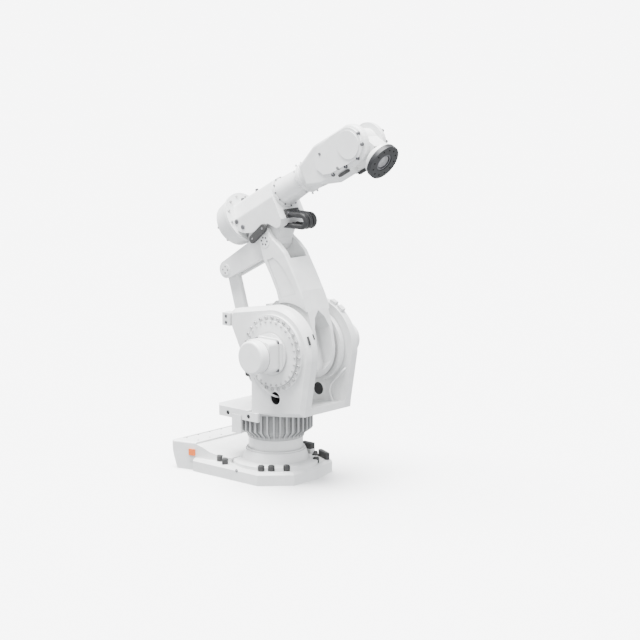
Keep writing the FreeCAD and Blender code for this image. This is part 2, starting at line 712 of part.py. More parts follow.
def hub_bosses():
    """Bosses of the hub, out to the right column side and to the crank."""
    near = disc_y(0, 0, NEAR_BOSS_R, -SIDE_IN + FIT, -WEB_HALF)
    far = disc_y(0, 0, FAR_BOSS_R, WEB_HALF, CRANK_IN - FIT)
    return [in_lower_arm(near), in_lower_arm(far)]


def elbow_pin():
    """Pin through the fork and the upper arm, with a cap at each end."""
    seat = ARM_HALF
    shaft = disc_y(ELBOW.x, ELBOW.z, ELBOW_PIN_R, -seat, seat)
    caps = [disc_y(ELBOW.x, ELBOW.z, ELBOW_CAP_R, -seat - ELBOW_CAP, -seat),
            disc_y(ELBOW.x, ELBOW.z, ELBOW_CAP_R, seat, seat + ELBOW_CAP)]
    return fuse([shaft] + caps)


# ---- crank and rod ----------------------------------------------------------------------------
def crank():
    """Disc and arm on the left of the shoulder that pull the rod."""
    arm = capsule_y(SHOULDER.x, SHOULDER.z, CRANK_END_R * 2, CRANK_PIN.x, CRANK_PIN.z, CRANK_END_R,
                    CRANK_IN, CRANK_OUT)
    disc = disc_y(SHOULDER.x, SHOULDER.z, CRANK_R, CRANK_IN, CRANK_OUT)
    boss = disc_y(CRANK_PIN.x, CRANK_PIN.z, CRANK_END_R - 6, CLEVIS_IN, CRANK_IN)
    seat = disc_y(SHOULDER.x, SHOULDER.z, FAR_BOSS_R, CRANK_OUT, SIDE_IN - FIT)
    body = fuse([disc, arm, boss, seat])
    for inner, outer in CRANK_GROOVES:
        ring = disc_y(SHOULDER.x, SHOULDER.z, outer, CRANK_IN - 1, CRANK_IN + CRANK_GROOVE)
        ring = ring.cut(disc_y(SHOULDER.x, SHOULDER.z, inner, CRANK_IN - 1, CRANK_IN + CRANK_GROOVE))
        body = body.cut(ring)
    return cut(body, disc_y(CRANK_PIN.x, CRANK_PIN.z, LINK_PIN_R, CLEVIS_IN - 1, CRANK_IN))


def crank_pin():
    """Pin between crank and rod, with a cap on its free end."""
    shaft = disc_y(CRANK_PIN.x, CRANK_PIN.z, LINK_PIN_R, -ROD_HALF - FIT, CRANK_IN)
    cap = disc_y(CRANK_PIN.x, CRANK_PIN.z, LINK_PIN_R + 16, -ROD_HALF - FIT - 12, -ROD_HALF - FIT)
    return fuse([shaft, cap])


def rod():
    """Flat rod from the crank up to the lever, with an eye at each end."""
    half = ROD_WIDTH / 2
    bar = box(-half, half, -ROD_HALF, ROD_HALF, 0, LOWER_LENGTH)
    bar = bevel(bar, 12, lambda e: upright(e))
    eyes = [disc_y(0, z, ROD_END_R, -ROD_HALF, ROD_HALF) for z in (0, LOWER_LENGTH)]
    body = fuse([bar] + eyes)
    holes = [disc_y(0, z, LINK_PIN_R + PLAY, -ROD_HALF - 1, ROD_HALF + 1) for z in (0, LOWER_LENGTH)]
    return placed(cut(body, *holes), CRANK_PIN, LOWER_LEAN)


# ---- upper arm --------------------------------------------------------------------------------
ELBOW_T = -UPPER_OFFSET
LEVER_TURN = UPPER_TILT - LINK_ANGLE  # the lever's angle in the forearm frame
LEVER_END = (-LINK_LENGTH * turn(LEVER_TURN)[0], ELBOW_T + LINK_LENGTH * turn(LEVER_TURN)[1])


def arm_house():
    """House of the upper arm: a bevelled box over a tongue that fits the lower arm's fork."""
    section = [(-HOUSE_HALF, -330), (-HOUSE_HALF, -20), (-HOUSE_TOP_HALF, HOUSE_TOP),
               (HOUSE_TOP_HALF, HOUSE_TOP), (HOUSE_HALF, -20), (HOUSE_HALF, -330)]
    block = bar_x(section, HOUSE_REAR, HOUSE_FRONT)
    block = rounded(block, HOUSE_ROUND, lambda e: e.BoundBox.XLength > HOUSE_FRONT and e.BoundBox.ZMin > -100)
    side = [(HOUSE_REAR, HOUSE_TOP + 10), (HOUSE_REAR, -130), (HOUSE_REAR + 60, -170), (-95, ELBOW_T + HOUSE_CLEAR_R),
            (120, ELBOW_T + HOUSE_CLEAR_R), (200, -290), (HOUSE_FRONT - 38, -290), (HOUSE_FRONT, -240),
            (HOUSE_FRONT, HOUSE_TOP + 10)]
    block = block.common(plate_y(side, -HOUSE_HALF - 1, HOUSE_HALF + 1))
    tongue_side = [(HOUSE_REAR + 60, -150), (HOUSE_REAR + 4, -246), (-330, -300), (-250, ELBOW_T - 92), (0, ELBOW_T - 100),
                   (70, ELBOW_T - 76), (108, ELBOW_T - 30), (200, -290), (HOUSE_FRONT - 60, -250),
                   (HOUSE_FRONT - 60, -150)]
    tongue = plate_y(tongue_side, -LEVER_HALF, LEVER_HALF)
    body = fuse([block, tongue])
    body = cut(body, disc_y(0, ELBOW_T, ELBOW_PIN_R + PLAY, -HOUSE_HALF, HOUSE_HALF),
               disc_y(0, ELBOW_T, HOUSE_CLEAR_R, -HOUSE_HALF - 1, -LEVER_HALF),
               disc_y(0, ELBOW_T, HOUSE_CLEAR_R, LEVER_HALF, HOUSE_HALF + 1))
    return body


def lever():
    """Rear lever: two ears behind the elbow that hold the rod's upper pin."""
    x, z = LEVER_END
    ears = []
    for low, high in ((-LEVER_HALF, -CLEVIS_IN), (CLEVIS_IN, LEVER_HALF)):
        ear = capsule_y(-180, ELBOW_T - 10, 100, x, z, LEVER_END_R, low, high)
        ears.append(cut(ear, disc_y(x, z, LINK_PIN_R, low - 1, high + 1)))
    return ears


def upper_arm_pieces():
    """House and lever as one casting."""
    return in_forearm(fuse([arm_house()] + lever()))


def clevis_pin():
    """Pin at the rear of the lever, with a cap at each end."""
    seat = LEVER_HALF
    shaft = disc_y(CLEVIS_PIN.x, CLEVIS_PIN.z, LINK_PIN_R, -seat, seat)
    caps = [disc_y(CLEVIS_PIN.x, CLEVIS_PIN.z, LINK_PIN_R + 14, -seat - 8, -seat),
            disc_y(CLEVIS_PIN.x, CLEVIS_PIN.z, LINK_PIN_R + 14, seat, seat + 8)]
    return fuse([shaft] + caps)


def rear_drum():
    """Round housing at the rear of the upper arm for the wrist drives."""
    body = fuse([
        disc_x(DRUM_R, HOUSE_REAR - DRUM_RIM, HOUSE_REAR),
        cone_x(DRUM_R - 34, DRUM_R - 10, DRUM_REAR, HOUSE_REAR - DRUM_RIM),
    ])
    return in_forearm(body)


def rear_cover():
    """Plate that closes the drum."""
    return in_forearm(disc_x(REAR_COVER_R - 20, DRUM_REAR - REAR_COVER, DRUM_REAR))


def elbow_pad():
    """Rubber stop pad on the right of the house, above the elbow."""
    r = PAD_HEIGHT / 2
    c, s = turn(PAD_TURN)
    dx, dz = (PAD_LENGTH / 2 - r) * c, (PAD_LENGTH / 2 - r) * s
    x, z = PAD_CENTRE
    pad = capsule_y(x - dx, z - dz, r, x + dx, z + dz, r, -HOUSE_HALF - PAD_THICK, -HOUSE_HALF)
    pad = rounded(pad, 7, lambda e: on_y(e, -HOUSE_HALF - PAD_THICK))
    return in_forearm(pad)


def hose(y):
    """One hose of the loop in front of the house: out level, round a half turn and back."""
    c, s = turn(-UPPER_TILT)
    start = V(HOSE_START[0], y, HOSE_START[1])
    out = V(c, 0, s)
    down = V(s, 0, -c)
    a = start
    b = start + out * HOSE_RUN
    far = b + out * HOSE_BEND_R + down * HOSE_BEND_R
    d = b + down * (2 * HOSE_BEND_R)
    e = d - out * (HOSE_RUN + 2 * HOSE_BEND_R * math.tan(math.radians(UPPER_TILT)))
    path = Part.Wire([Part.makeLine(a, b), Part.Arc(b, far, d).toShape(), Part.makeLine(d, e)])
    ring = Part.Wire([Part.makeCircle(HOSE_R, a, out)])
    return path.makePipeShell([ring], True, False)


def hose_loop():
    """Three hoses side by side, with both ends flush on the house."""
    house = arm_house()
    loops = []
    for y in (-HOSE_PITCH, 0, HOSE_PITCH):
        outside = max(hose(y).cut(house).Solids, key=lambda s: s.Volume)
        loops.append(in_forearm(outside))
    return loops


# ---- forearm and wrist ------------------------------------------------------------------------
def forearm_tube():
    """Turning forearm tube with a flange at each end."""
    start = HOUSE_FRONT + FIT
    body = fuse([
        disc_x(TUBE_R + 22, start, start + 26),
        cone_x(TUBE_R + 8, TUBE_WAIST_R, start + 26, TUBE_END - TUBE_FLANGE),
        disc_x(TUBE_FLANGE_R - 20, TUBE_END - TUBE_FLANGE, TUBE_END),
    ])
    return in_forearm(body)


def wrist_fork():
    """Fork that carries the bending wrist."""
    root = cone_x(TUBE_FLANGE_R - 26, FORK_HALF - 4, TUBE_END, FORK_START + 80)
    outline = [
        (FORK_START, -108), (FORK_START + 170, -168), (UPPER_REACH - 90, -FORK_WIDTH),
        *arc_points(UPPER_REACH, 0, FORK_WIDTH + 4, -80, 80, 16),
        (UPPER_REACH - 90, FORK_WIDTH), (FORK_START + 250, FORK_WIDTH + 4), (FORK_START + 60, 112),
        (FORK_START, 96),
    ]
    slab = plate_y(outline, -FORK_HALF, FORK_HALF)
    slab = rounded(slab, FORK_ROUND, lambda e: on_y(e, -FORK_HALF) or on_y(e, FORK_HALF))
    mouth = box(FORK_CROTCH, UPPER_REACH + 400, -FORK_IN, FORK_IN, -400, 400)
    return in_forearm(cut(fuse([root, slab]), mouth))


def wrist_plate():
    """Teardrop cover plate on the right of the fork."""
    outline = [
        (FORK_START + 200, -20), (FORK_START + 250, -104), (FORK_START + 330, -130), (UPPER_REACH - 60, -142),
        *arc_points(UPPER_REACH, 0, FORK_WIDTH - 24, -70, 84, 16),
        (UPPER_REACH - 160, FORK_WIDTH - 22), (FORK_START + 300, 120), (FORK_START + 225, 52),
    ]
    return plate_y(outline, -FORK_HALF - WRIST_PLATE, -FORK_HALF)


def wrist_cap():
    """Round cap over the bending axis."""
    y = -FORK_HALF - WRIST_PLATE
    return disc_y(UPPER_REACH, 0, WRIST_CAP_R, y - WRIST_CAP, y)


def bend_unit():
    """Wrist body between the fork's arms, with the nose that carries the tool disc."""
    y = FORK_IN - FIT
    drum = disc_y(0, 0, BEND_R, -y, y)
    neck = bar_x([(-y, -112), (y, -112), (y, 112), (-y, 112)], 0, 204)
    nose = disc_x(BEND_NOSE_R, 228, TOOL_REACH - TOOL_DISC - FIT)
    taper = cone_x(118, BEND_NOSE_R, 200, 228)
    return in_tool(fuse([drum, neck, taper, nose]))


def tool_disc():
    """Tool flange with its bolt circle and centring bore."""
    low = TOOL_REACH - TOOL_DISC
    body = disc_x(TOOL_DISC_R, low, TOOL_REACH)
    holes = []
    for i in range(TOOL_BOLTS):
        c, s = turn(360.0 * i / TOOL_BOLTS)
        holes.append(disc_x(TOOL_HOLE_R, TOOL_REACH - 30, TOOL_REACH + 1, TOOL_PCD / 2 * c, TOOL_PCD / 2 * s))
    holes.append(disc_x(TOOL_BORE_R, TOOL_REACH - TOOL_BORE_DEEP, TOOL_REACH + 1))
    return in_tool(cut(body, *holes))


# ---- all the nodes ----------------------------------------------------------------------------
def nodes():
    """Name and solids of every sub-part."""
    side, flange, motor, cap, ear = column_side(), gear_flange(), drive_motor(), motor_cap(), stop_ear()
    plate, disc = wrist_plate(), wrist_cap()
    return {
        "base_plate": [base_plate()],
        "base_pedestal": [pedestal()],
        "rear_connector_box": [connector_box()],
        "connector_box_lid": [box_lid()],
        "slewing_stop_blocks": slewing_stops(),
        "brake_release_button": [release_button()],
        "release_tag_plate": [release_tag()],
        "slewing_ring": [slewing_ring()],
        "column_floor": [column_floor()],
        "column_right_side": [side],
        "column_left_side": [mirrored(side)],
        "right_gear_flange": [flange],
        "left_gear_flange": [mirrored(flange)],
        "right_drive_motor": [motor],
        "left_drive_motor": [mirrored(motor)],
        "right_motor_cap": [cap],
        "left_motor_cap": [mirrored(cap)],
        "rear_shelf": [rear_shelf()],
        "slewing_motor": [slewing_motor()],
        "right_stop_ear": [ear],
        "left_stop_ear": [mirrored(ear)],
        "port_plugs": [port_plug(), mirrored(port_plug())],
        "column_cables": column_cables(),
        "left_rim_blocks": rim_blocks(),
        "column_rear_bumper": [column_bumper()],
        "lower_arm": [lower_arm()],
        "lower_arm_bosses": hub_bosses(),
        "elbow_pin": [elbow_pin()],
        "crank": [crank()],
        "crank_pin": [crank_pin()],
        "linkage_rod": [rod()],
        "upper_arm_house": [upper_arm_pieces()],
        "clevis_pin": [clevis_pin()],
        "rear_drum": [rear_drum()],
        "rear_drum_cover": [rear_cover()],
        "elbow_stop_pad": [elbow_pad()],
        "hose_loop": hose_loop(),
        "forearm_tube": [forearm_tube()],
        "wrist_fork": [wrist_fork()],
        "wrist_right_plate": [in_forearm(plate)],
        "wrist_left_plate": [in_forearm(mirrored(plate))],
        "wrist_right_cap": [in_forearm(disc)],
        "wrist_left_cap": [in_forearm(mirrored(disc))],
        "bend_unit": [bend_unit()],
        "tool_flange": [tool_disc()],
    }


def main():
    """Writes one STEP file per sub-part."""
    os.makedirs(PARTS, exist_ok=True)
    for name, shapes in nodes().items():
        solids = [s for shape in shapes for s in shape.Solids]
        bad = [s for s in solids if not s.isValid() or s.Volume <= 0]
        print(f"{name}: {len(solids)} solid(s), {sum(s.Volume for s in solids) / 1e9:.4f} m3",
              "INVALID" if bad else "")
        shape = solids[0] if len(solids) == 1 else Part.makeCompound(solids)
        shape.exportStep(f"{PARTS}/{name}.step")


main()
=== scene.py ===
"""Looks for a large six-axis robot arm: paint, bolts, seams, cables and the studio around it."""

from __future__ import annotations

import json
import logging
import math
from dataclasses import dataclass, field
from enum import Enum
from typing import Any, Sequence

import bmesh
import bpy
from mathutils import Matrix, Vector


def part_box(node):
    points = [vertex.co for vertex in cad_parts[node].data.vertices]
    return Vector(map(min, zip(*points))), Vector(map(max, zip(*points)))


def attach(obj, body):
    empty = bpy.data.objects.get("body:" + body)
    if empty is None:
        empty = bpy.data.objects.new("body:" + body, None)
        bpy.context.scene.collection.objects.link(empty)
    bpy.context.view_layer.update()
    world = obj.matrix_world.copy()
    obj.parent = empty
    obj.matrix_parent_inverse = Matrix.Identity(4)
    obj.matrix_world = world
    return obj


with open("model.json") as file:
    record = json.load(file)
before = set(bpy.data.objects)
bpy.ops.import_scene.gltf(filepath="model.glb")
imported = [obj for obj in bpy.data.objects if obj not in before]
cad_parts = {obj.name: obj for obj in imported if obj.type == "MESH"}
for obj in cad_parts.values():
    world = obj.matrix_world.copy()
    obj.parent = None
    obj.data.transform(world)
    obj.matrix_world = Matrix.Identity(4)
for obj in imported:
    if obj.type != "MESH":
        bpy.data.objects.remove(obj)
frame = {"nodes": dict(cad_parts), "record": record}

LOG = logging.getLogger("robot")
MM = 0.001


# ---- shader maths -----------------------------------------------------------------------------
class Sock:
    """A node output that takes part in Python arithmetic."""

    def __init__(self, build: "Shader", out: bpy.types.NodeSocket) -> None:
        """Wraps an output socket.

        Args:
            build: The shader that owns the socket.
            out: The output socket.
        """
        self.build = build
        self.out = out

    def _math(self, operation: str, a: Any, b: Any) -> "Sock":
        """Adds one Math node.

        Args:
            operation: The node's operation.
            a: First value or socket.
            b: Second value or socket.

        Returns:
            The node's output.
        """
        return self.build.add("ShaderNodeMath", {"operation": operation}, {0: a, 1: b})

    def __add__(self, other: Any) -> "Sock":
        """Sum."""
        return self._math("ADD", self, other)

    def __radd__(self, other: Any) -> "Sock":
        """Reflected sum."""
        return self._math("ADD", other, self)

    def __sub__(self, other: Any) -> "Sock":
        """Difference."""
        return self._math("SUBTRACT", self, other)

    def __rsub__(self, other: Any) -> "Sock":
        """Reflected difference."""
        return self._math("SUBTRACT", other, self)

    def __mul__(self, other: Any) -> "Sock":
        """Product."""
        return self._math("MULTIPLY", self, other)

    def __rmul__(self, other: Any) -> "Sock":
        """Reflected product."""
        return self._math("MULTIPLY", other, self)

    def __pow__(self, other: Any) -> "Sock":
        """Power."""
        return self._math("POWER", self, other)

    def clamp(self, low: float, high: float) -> "Sock":
        """Maps low..high to 0..1 and clips it.

        Args:
            low: Value that becomes 0.
            high: Value that becomes 1.

        Returns:
            The clipped socket.
        """
        return self.build.add(
            "ShaderNodeMapRange", {"clamp": True}, {"Value": self, "From Min": low, "From Max": high}, "Result")


class Shader:
    """One material and the nodes in it."""

    def __init__(self, name: str) -> None:
        """Starts an empty node tree with a Principled shader.

        Args:
            name: The material's name.
        """
        self.material = bpy.data.materials.new(name)
        self.material.use_nodes = True
        self.tree = self.material.node_tree
        self.tree.nodes.clear()
        self.bsdf = self.tree.nodes.new("ShaderNodeBsdfPrincipled")
        output = self.tree.nodes.new("ShaderNodeOutputMaterial")
        self.tree.links.new(self.bsdf.outputs[0], output.inputs[0])
        self.place = self.add("ShaderNodeTexCoord", {}, {}, "Object")

    def add(self, kind: str, settings: dict[str, Any], values: dict[Any, Any], out: Any = 0) -> Sock:
        """Adds any node.

        Args:
            kind: The node's type.
            settings: Properties of the node, set first; "stops" fills a colour ramp.
            values: Values or links of its input sockets, by name or index.
            out: Name or index of the output to return.

        Returns:
            The chosen output.
        """
        node = self.tree.nodes.new(kind)
        for key, value in settings.items():
            if key == "stops":
                self._stops(node, value)
            else:
                setattr(node, key, value)
        for key, value in values.items():
            self._feed(node.inputs[key], value)
        return Sock(self, node.outputs[out])

    def _stops(self, node: bpy.types.Node, stops: Sequence[tuple[float, tuple[float, ...]]]) -> None:
        """Fills a colour ramp.

        Args:
            node: The ramp node.
            stops: Positions and colours.
        """
        ramp = node.color_ramp
        while len(ramp.elements) < len(stops):
            ramp.elements.new(0.5)
        for element, (place, colour) in zip(ramp.elements, stops):
            element.position = place
            element.color = (*colour[:3], 1.0)

    def _feed(self, socket: bpy.types.NodeSocket, value: Any) -> None:
        """Links or sets one input.

        Args:
            socket: The input.
            value: A Sock, a number or a colour.
        """
        if isinstance(value, Sock):
            self.tree.links.new(value.out, socket)
        elif isinstance(value, (tuple, list)) and len(value) == 3 and len(socket.default_value) == 4:
            socket.default_value = (*value, 1.0)
        else:
            socket.default_value = value

    def noise(self, scale: float, detail: float = 3.0, rough: float = 0.55, place: Any = None) -> Sock:
        """Noise on the piece's own coordinates.

        Args:
            scale: Size of the grain, per metre.
            detail: Octaves.
            rough: Strength of the fine octaves.
            place: Coordinates, if not the piece's own.

        Returns:
            The noise, 0 to 1.
        """
        return self.add(
            "ShaderNodeTexNoise", {},
            {"Vector": place or self.place, "Scale": scale, "Detail": detail, "Roughness": rough}, "Fac")

    def mix(self, factor: Any, a: Any, b: Any) -> Sock:
        """Mixes two colours.

        Args:
            factor: 0 gives a, 1 gives b.
            a: First colour.
            b: Second colour.

        Returns:
            The mixed colour.
        """
        node = self.tree.nodes.new("ShaderNodeMix")
        node.data_type = "RGBA"
        self._feed(node.inputs[0], factor)
        self._feed(node.inputs[6], a)
        self._feed(node.inputs[7], b)
        return Sock(self, node.outputs[2])

    def finish(self, values: dict[str, Any], height: Sock | None = None,
               depth: float = 0.0) -> bpy.types.Material:
        """Feeds the shader.

        Args:
            values: Values or links of the Principled shader.
            height: Height that feeds the bump.
            depth: Depth of the bump, in metres.

        Returns:
            The material.
        """
        for key, value in values.items():
            self._feed(self.bsdf.inputs[key], value)
        if height is not None:
            bump = self.add("ShaderNodeBump", {}, {"Height": height, "Strength": 1.0, "Distance": depth})
            self.tree.links.new(bump.out, self.bsdf.inputs["Normal"])
        return self.material


@dataclass(frozen=True)
class CastPaint:
    """Thick sprayed paint over a sand casting, with painted shade in the corners and a few chips."""

    name: str
    colour: tuple[float, float, float]
    shade: tuple[float, float, float]
    grain: float = 260.0
    depth: float = 0.0007
    gloss: float = 0.34
    # Strength of the painted shade that darkens corners and creases.
    painted_shade: float = 0.75
    chips: float = 0.0

    def make(self) -> bpy.types.Material:
        """Builds the material."""
        s = Shader(self.name)
        broad = s.noise(2.2, 4.0, 0.6)
        cloud = s.noise(11.0, 5.0, 0.65)
        grain = s.noise(self.grain, 4.0, 0.6)
        peel = s.noise(95.0, 2.0, 0.5)
        # Painted shade: ambient occlusion darkens the colour in corners and creases, mottled by the cloud
        # noise.
        closed = s.add("ShaderNodeAmbientOcclusion", {"samples": 6, "only_local": True},
                       {"Distance": 0.06}, "AO")
        corner = (1.0 - closed) * self.painted_shade
        tint = s.mix((broad * 0.6 + cloud * 0.4).clamp(0.36, 0.68), self.shade, self.colour)
        # dark is the colour of that painted shade.
        dark = tuple(c * 0.34 for c in self.shade)
        tint = s.mix((corner * (0.6 + cloud * 0.8)).clamp(0.02, 0.85), tint, dark)
        fleck = s.noise(34.0, 6.0, 0.75).clamp(0.735 - self.chips, 0.75 - self.chips)
        tint = s.mix(fleck * 0.75, tint, (0.19, 0.18, 0.17))
        rough = self.gloss + cloud * 0.16 + corner * 0.2 + fleck * 0.2
        height = grain * 0.35 + peel * 0.65 - fleck * 0.5
        return s.finish({"Base Color": tint, "Roughness": rough, "Coat Weight": 0.25, "Coat Roughness": 0.18},
                        height, self.depth)


@dataclass(frozen=True)
class Metal:
    """Machined steel with fine tool marks and a thin film of oil."""

    name: str
    colour: tuple[float, float, float]
    rough: float = 0.34
    metallic: float = 1.0

    def make(self) -> bpy.types.Material:
        """Builds the material."""
        s = Shader(self.name)
        smear = s.noise(24.0, 5.0, 0.6)
        marks = s.noise(900.0, 2.0, 0.5)
        dark = tuple(c * 0.6 for c in self.colour)
        tint = s.mix(smear.clamp(0.35, 0.7), dark, self.colour)
        return s.finish({"Base Color": tint, "Metallic": self.metallic, "Roughness": self.rough + smear * 0.18},
                        marks, 0.00008)


@dataclass(frozen=True)
class Rubber:
    """Moulded black rubber with a dusty surface."""

    name: str
    colour: tuple[float, float, float]
    rough: float = 0.55
    grain: float = 500.0

    def make(self) -> bpy.types.Material:
        """Builds the material."""
        s = Shader(self.name)
        dust = s.noise(16.0, 5.0, 0.65).clamp(0.45, 0.8)
        grain = s.noise(self.grain, 3.0, 0.5)
        pale = tuple(c * 2.4 + 0.02 for c in self.colour)
        tint = s.mix(dust * 0.6, self.colour, pale)
        return s.finish({"Base Color": tint, "Roughness": self.rough + dust * 0.25}, grain, 0.0003)


@dataclass(frozen=True)
class Plastic:
    """Moulded plastic with a faint texture."""

    name: str
    colour: tuple[float, float, float]
    rough: float = 0.3

    def make(self) -> bpy.types.Material:
        """Builds the material."""
        s = Shader(self.name)
        cloud = s.noise(40.0, 3.0, 0.5)
        dark = tuple(c * 0.78 for c in self.colour)
        tint = s.mix(cloud.clamp(0.3, 0.7), dark, self.colour)
        return s.finish({"Base Color": tint, "Roughness": self.rough + cloud * 0.1, "Coat Weight": 0.3},
                        s.noise(600.0, 2.0, 0.5), 0.0001)


class Finish(Enum):
    """The finishes of the robot."""

    WHITE = CastPaint("white_cast_paint", (0.78, 0.785, 0.78), (0.66, 0.665, 0.66))
    COVER = CastPaint("white_cover_paint", (0.8, 0.805, 0.8), (0.7, 0.705, 0.7), 420.0, 0.0003, 0.28, 0.6)
    # The slewing ring is white paint like the rest: its mid grey colour and its full corner darkening are
    # painted shade of its ribs.
    RING = CastPaint("ring_painted_shade", (0.5, 0.505, 0.505), (0.34, 0.345, 0.345), 300.0, 0.0008, 0.4, 1.0)
    STEEL = Metal("turned_steel", (0.42, 0.42, 0.43))
    BOLT = Metal("blackened_bolt", (0.2, 0.2, 0.21), 0.38)
    PALE_BOLT = Metal("painted_bolt", (0.62, 0.62, 0.62), 0.45, 0.25)
    TOOL = Metal("black_tool_flange", (0.035, 0.036, 0.038), 0.36, 0.55)
    RUBBER = Rubber("black_rubber", (0.012, 0.012, 0.013))
    HOSE = Rubber("hose_jacket", (0.01, 0.01, 0.011), 0.42, 900.0)
    # Near-black finish: painted shade inside the cable ports and the shelf holes, and the colour of the socket
    # cores.
    DARK = Rubber("dark_recess", (0.008, 0.008, 0.009), 0.7)
    ORANGE = Plastic("orange_button", (0.85, 0.16, 0.015))
    TAG = Plastic("tag_plate", (0.72, 0.73, 0.72), 0.35)

    def material(self) -> bpy.types.Material:
        """The finish's material, built once."""
        made = bpy.data.materials.get(self.value.name)
        return made or self.value.make()


# ---- places -----------------------------------------------------------------------------------
def joint(name: str) -> dict[str, Any]:
    """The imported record's entry for a joint."""
    return next(j for j in frame["record"]["behaviour"]["joints"] if j["name"] == name)


@dataclass(frozen=True)
class Place:
    """A local frame: X along a direction in the robot's middle plane, Y to its left, Z square to X."""

    origin: Vector
    along: Vector

    def matrix(self) -> Matrix:
        """Local to world."""
        x = self.along.normalized()
        y = Vector((0.0, 1.0, 0.0))
        z = x.cross(y)
        m = Matrix.Identity(4)
        for col, axis in enumerate((x, y, z)):
            for row in range(3):
                m[row][col] = axis[row]
        m.translation = self.origin
        return m

    def point(self, x: float, y: float, z: float) -> Vector:
        """A local point in the world."""
        return self.matrix() @ Vector((x, y, z))

    def turn(self, x: float, y: float, z: float) -> Vector:
        """A local direction in the world."""
        return self.matrix().to_3x3() @ Vector((x, y, z))


SHOULDER = Vector(joint("axis_2")["pos_m"])
ELBOW = Vector(joint("axis_3")["pos_m"])
UPPER = Place(Vector(joint("axis_4")["pos_m"]), Vector(joint("axis_4")["axis"]))
TOOL = Place(Vector(joint("axis_6")["pos_m"]), Vector(joint("axis_6")["axis"]))


# ---- pieces -----------------------------------------------------------------------------------
def dress(node: str, finish: Finish) -> None:
    """Gives a CAD node its finish.

    Args:
        node: The node's name.
        finish: What it is made of.
    """
    obj = frame["nodes"][node]
    obj.data.materials.clear()
    obj.data.materials.append(finish.material())


def keep(obj: bpy.types.Object, body: str, finish: Finish) -> bpy.types.Object:
    """Makes a finished piece ride on its body.

    Args:
        obj: The piece, at the origin.
        body: Name of the CAD body.
        finish: The finish it takes.

    Returns:
        The piece.
    """
    if not obj.data.materials:
        obj.data.materials.append(finish.material())
    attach(obj, body)
    LOG.info("%s on %s, %d faces", obj.name, body, len(obj.data.polygons))
    return obj


def link(name: str, mesh: bpy.types.Mesh) -> bpy.types.Object:
    """A new object for a mesh, in the scene."""
    obj = bpy.data.objects.new(name, mesh)
    bpy.context.scene.collection.objects.link(obj)
    return obj


def from_bmesh(name: str, bm: bmesh.types.BMesh, matrix: Matrix | None = None) -> bpy.types.Object:
    """A new object from a bmesh.

    Args:
        name: The piece's name.
        bm: Its mesh, freed here.
        matrix: Where to put it.

    Returns:
        The object, at the origin.
    """
    bmesh.ops.remove_doubles(bm, verts=bm.verts, dist=1e-6)
    bmesh.ops.recalc_face_normals(bm, faces=bm.faces)
    if matrix is not None:
        bmesh.ops.transform(bm, matrix=matrix, verts=bm.verts)
    mesh = bpy.data.meshes.new(name)
    bm.to_mesh(mesh)
    bm.free()
    return link(name, mesh)


def axis_matrix(origin: Vector, normal: Vector) -> Matrix:
    """A matrix that puts local Z on a normal."""
    m = normal.normalized().to_track_quat("Z", "Y").to_matrix().to_4x4()
    m.translation = origin
    return m


def turned(name: str, profile: Sequence[tuple[float, float]], origin: Vector, normal: Vector,
           steps: int = 64) -> bpy.types.Object:
    """A turned piece from its half profile.

    Args:
        name: The piece's name.
        profile: Radius and height of each corner, from the axis and back to it.
        origin: The foot of its axis.
        normal: Direction of its axis.
        steps: Sides round the axis.

    Returns:
        The object.
    """
    bm = bmesh.new()
    verts = [bm.verts.new((r, 0.0, z)) for r, z in profile]
    edges = [bm.edges.new(pair) for pair in zip(verts, verts[1:])]
    bmesh.ops.spin(bm, geom=verts + edges, cent=(0, 0, 0), axis=(0, 0, 1), angle=2 * math.pi, steps=steps)
    obj = from_bmesh(name, bm, axis_matrix(origin, normal))
    smooth(obj)
    return obj


def smooth(obj: bpy.types.Object, degrees: float = 32.0) -> None:
    """Shades a piece smooth except at its sharp edges.

    Args:
        obj: The piece.
        degrees: The least angle of a sharp edge.
    """
    mesh = obj.data
    mesh.polygons.foreach_set("use_smooth", [True] * len(mesh.polygons))
    bm = bmesh.new()
    bm.from_mesh(mesh)
    for edge in bm.edges:
        if len(edge.link_faces) == 2:
            edge.smooth = edge.calc_face_angle(0.0) < math.radians(degrees)
    bm.to_mesh(mesh)
    bm.free()


def slab(name: str, outline: Sequence[tuple[float, float]], low: float, high: float, bevel: float,
         matrix: Matrix) -> bpy.types.Object:
    """A flat plate with rounded edges, its outline in local x and z, its thickness along local y.

    Args:
        name: The piece's name.
        outline: Corners of the plate.
        low: Lowest local y.
        high: Highest local y.
        bevel: Width of the edge rounding.
        matrix: Local to world.

    Returns:
        The object.
    """
    bm = bmesh.new()
    ring = [bm.verts.new((x, low, z)) for x, z in outline]
    face = bm.faces.new(ring)
    moved = bmesh.ops.extrude_face_region(bm, geom=[face])["geom"]
    verts = [v for v in moved if isinstance(v, bmesh.types.BMVert)]
    bmesh.ops.translate(bm, verts=verts, vec=(0, high - low, 0))
    bmesh.ops.bevel(bm, geom=list(bm.edges), offset=bevel, segments=2, profile=0.6, affect="EDGES")
    obj = from_bmesh(name, bm, matrix)
    smooth(obj, 40.0)
    return obj


def block(name: str, low: Sequence[float], high: Sequence[float], bevel: float,
          matrix: Matrix) -> bpy.types.Object:
    """A moulded block with rounded edges.

    Args:
        name: The piece's name.
        low: Lowest corner, local.
        high: Highest corner, local.
        bevel: Radius of its edges.
        matrix: Local to world.

    Returns:
        The object.
    """
    outline = [(low[0], low[2]), (high[0], low[2]), (high[0], high[2]), (low[0], high[2])]
    return slab(name, outline, low[1], high[1], bevel, matrix)


def collar(inner: float, outer: float, low: float, high: float, ease: float) -> list[tuple[float, float]]:
    """Half profile of a ring with eased outer edges.

    Args:
        inner: Inner radius.
        outer: Outer radius.
        low: Foot of the ring.
        high: Top of the ring.
        ease: Size of the eased edges.

    Returns:
        A closed profile.
    """
    return [(inner, low), (outer, low), (outer, high - ease), (outer - ease, high), (inner + ease * 0.5, high),
            (inner, high - ease * 0.5), (inner, low)]


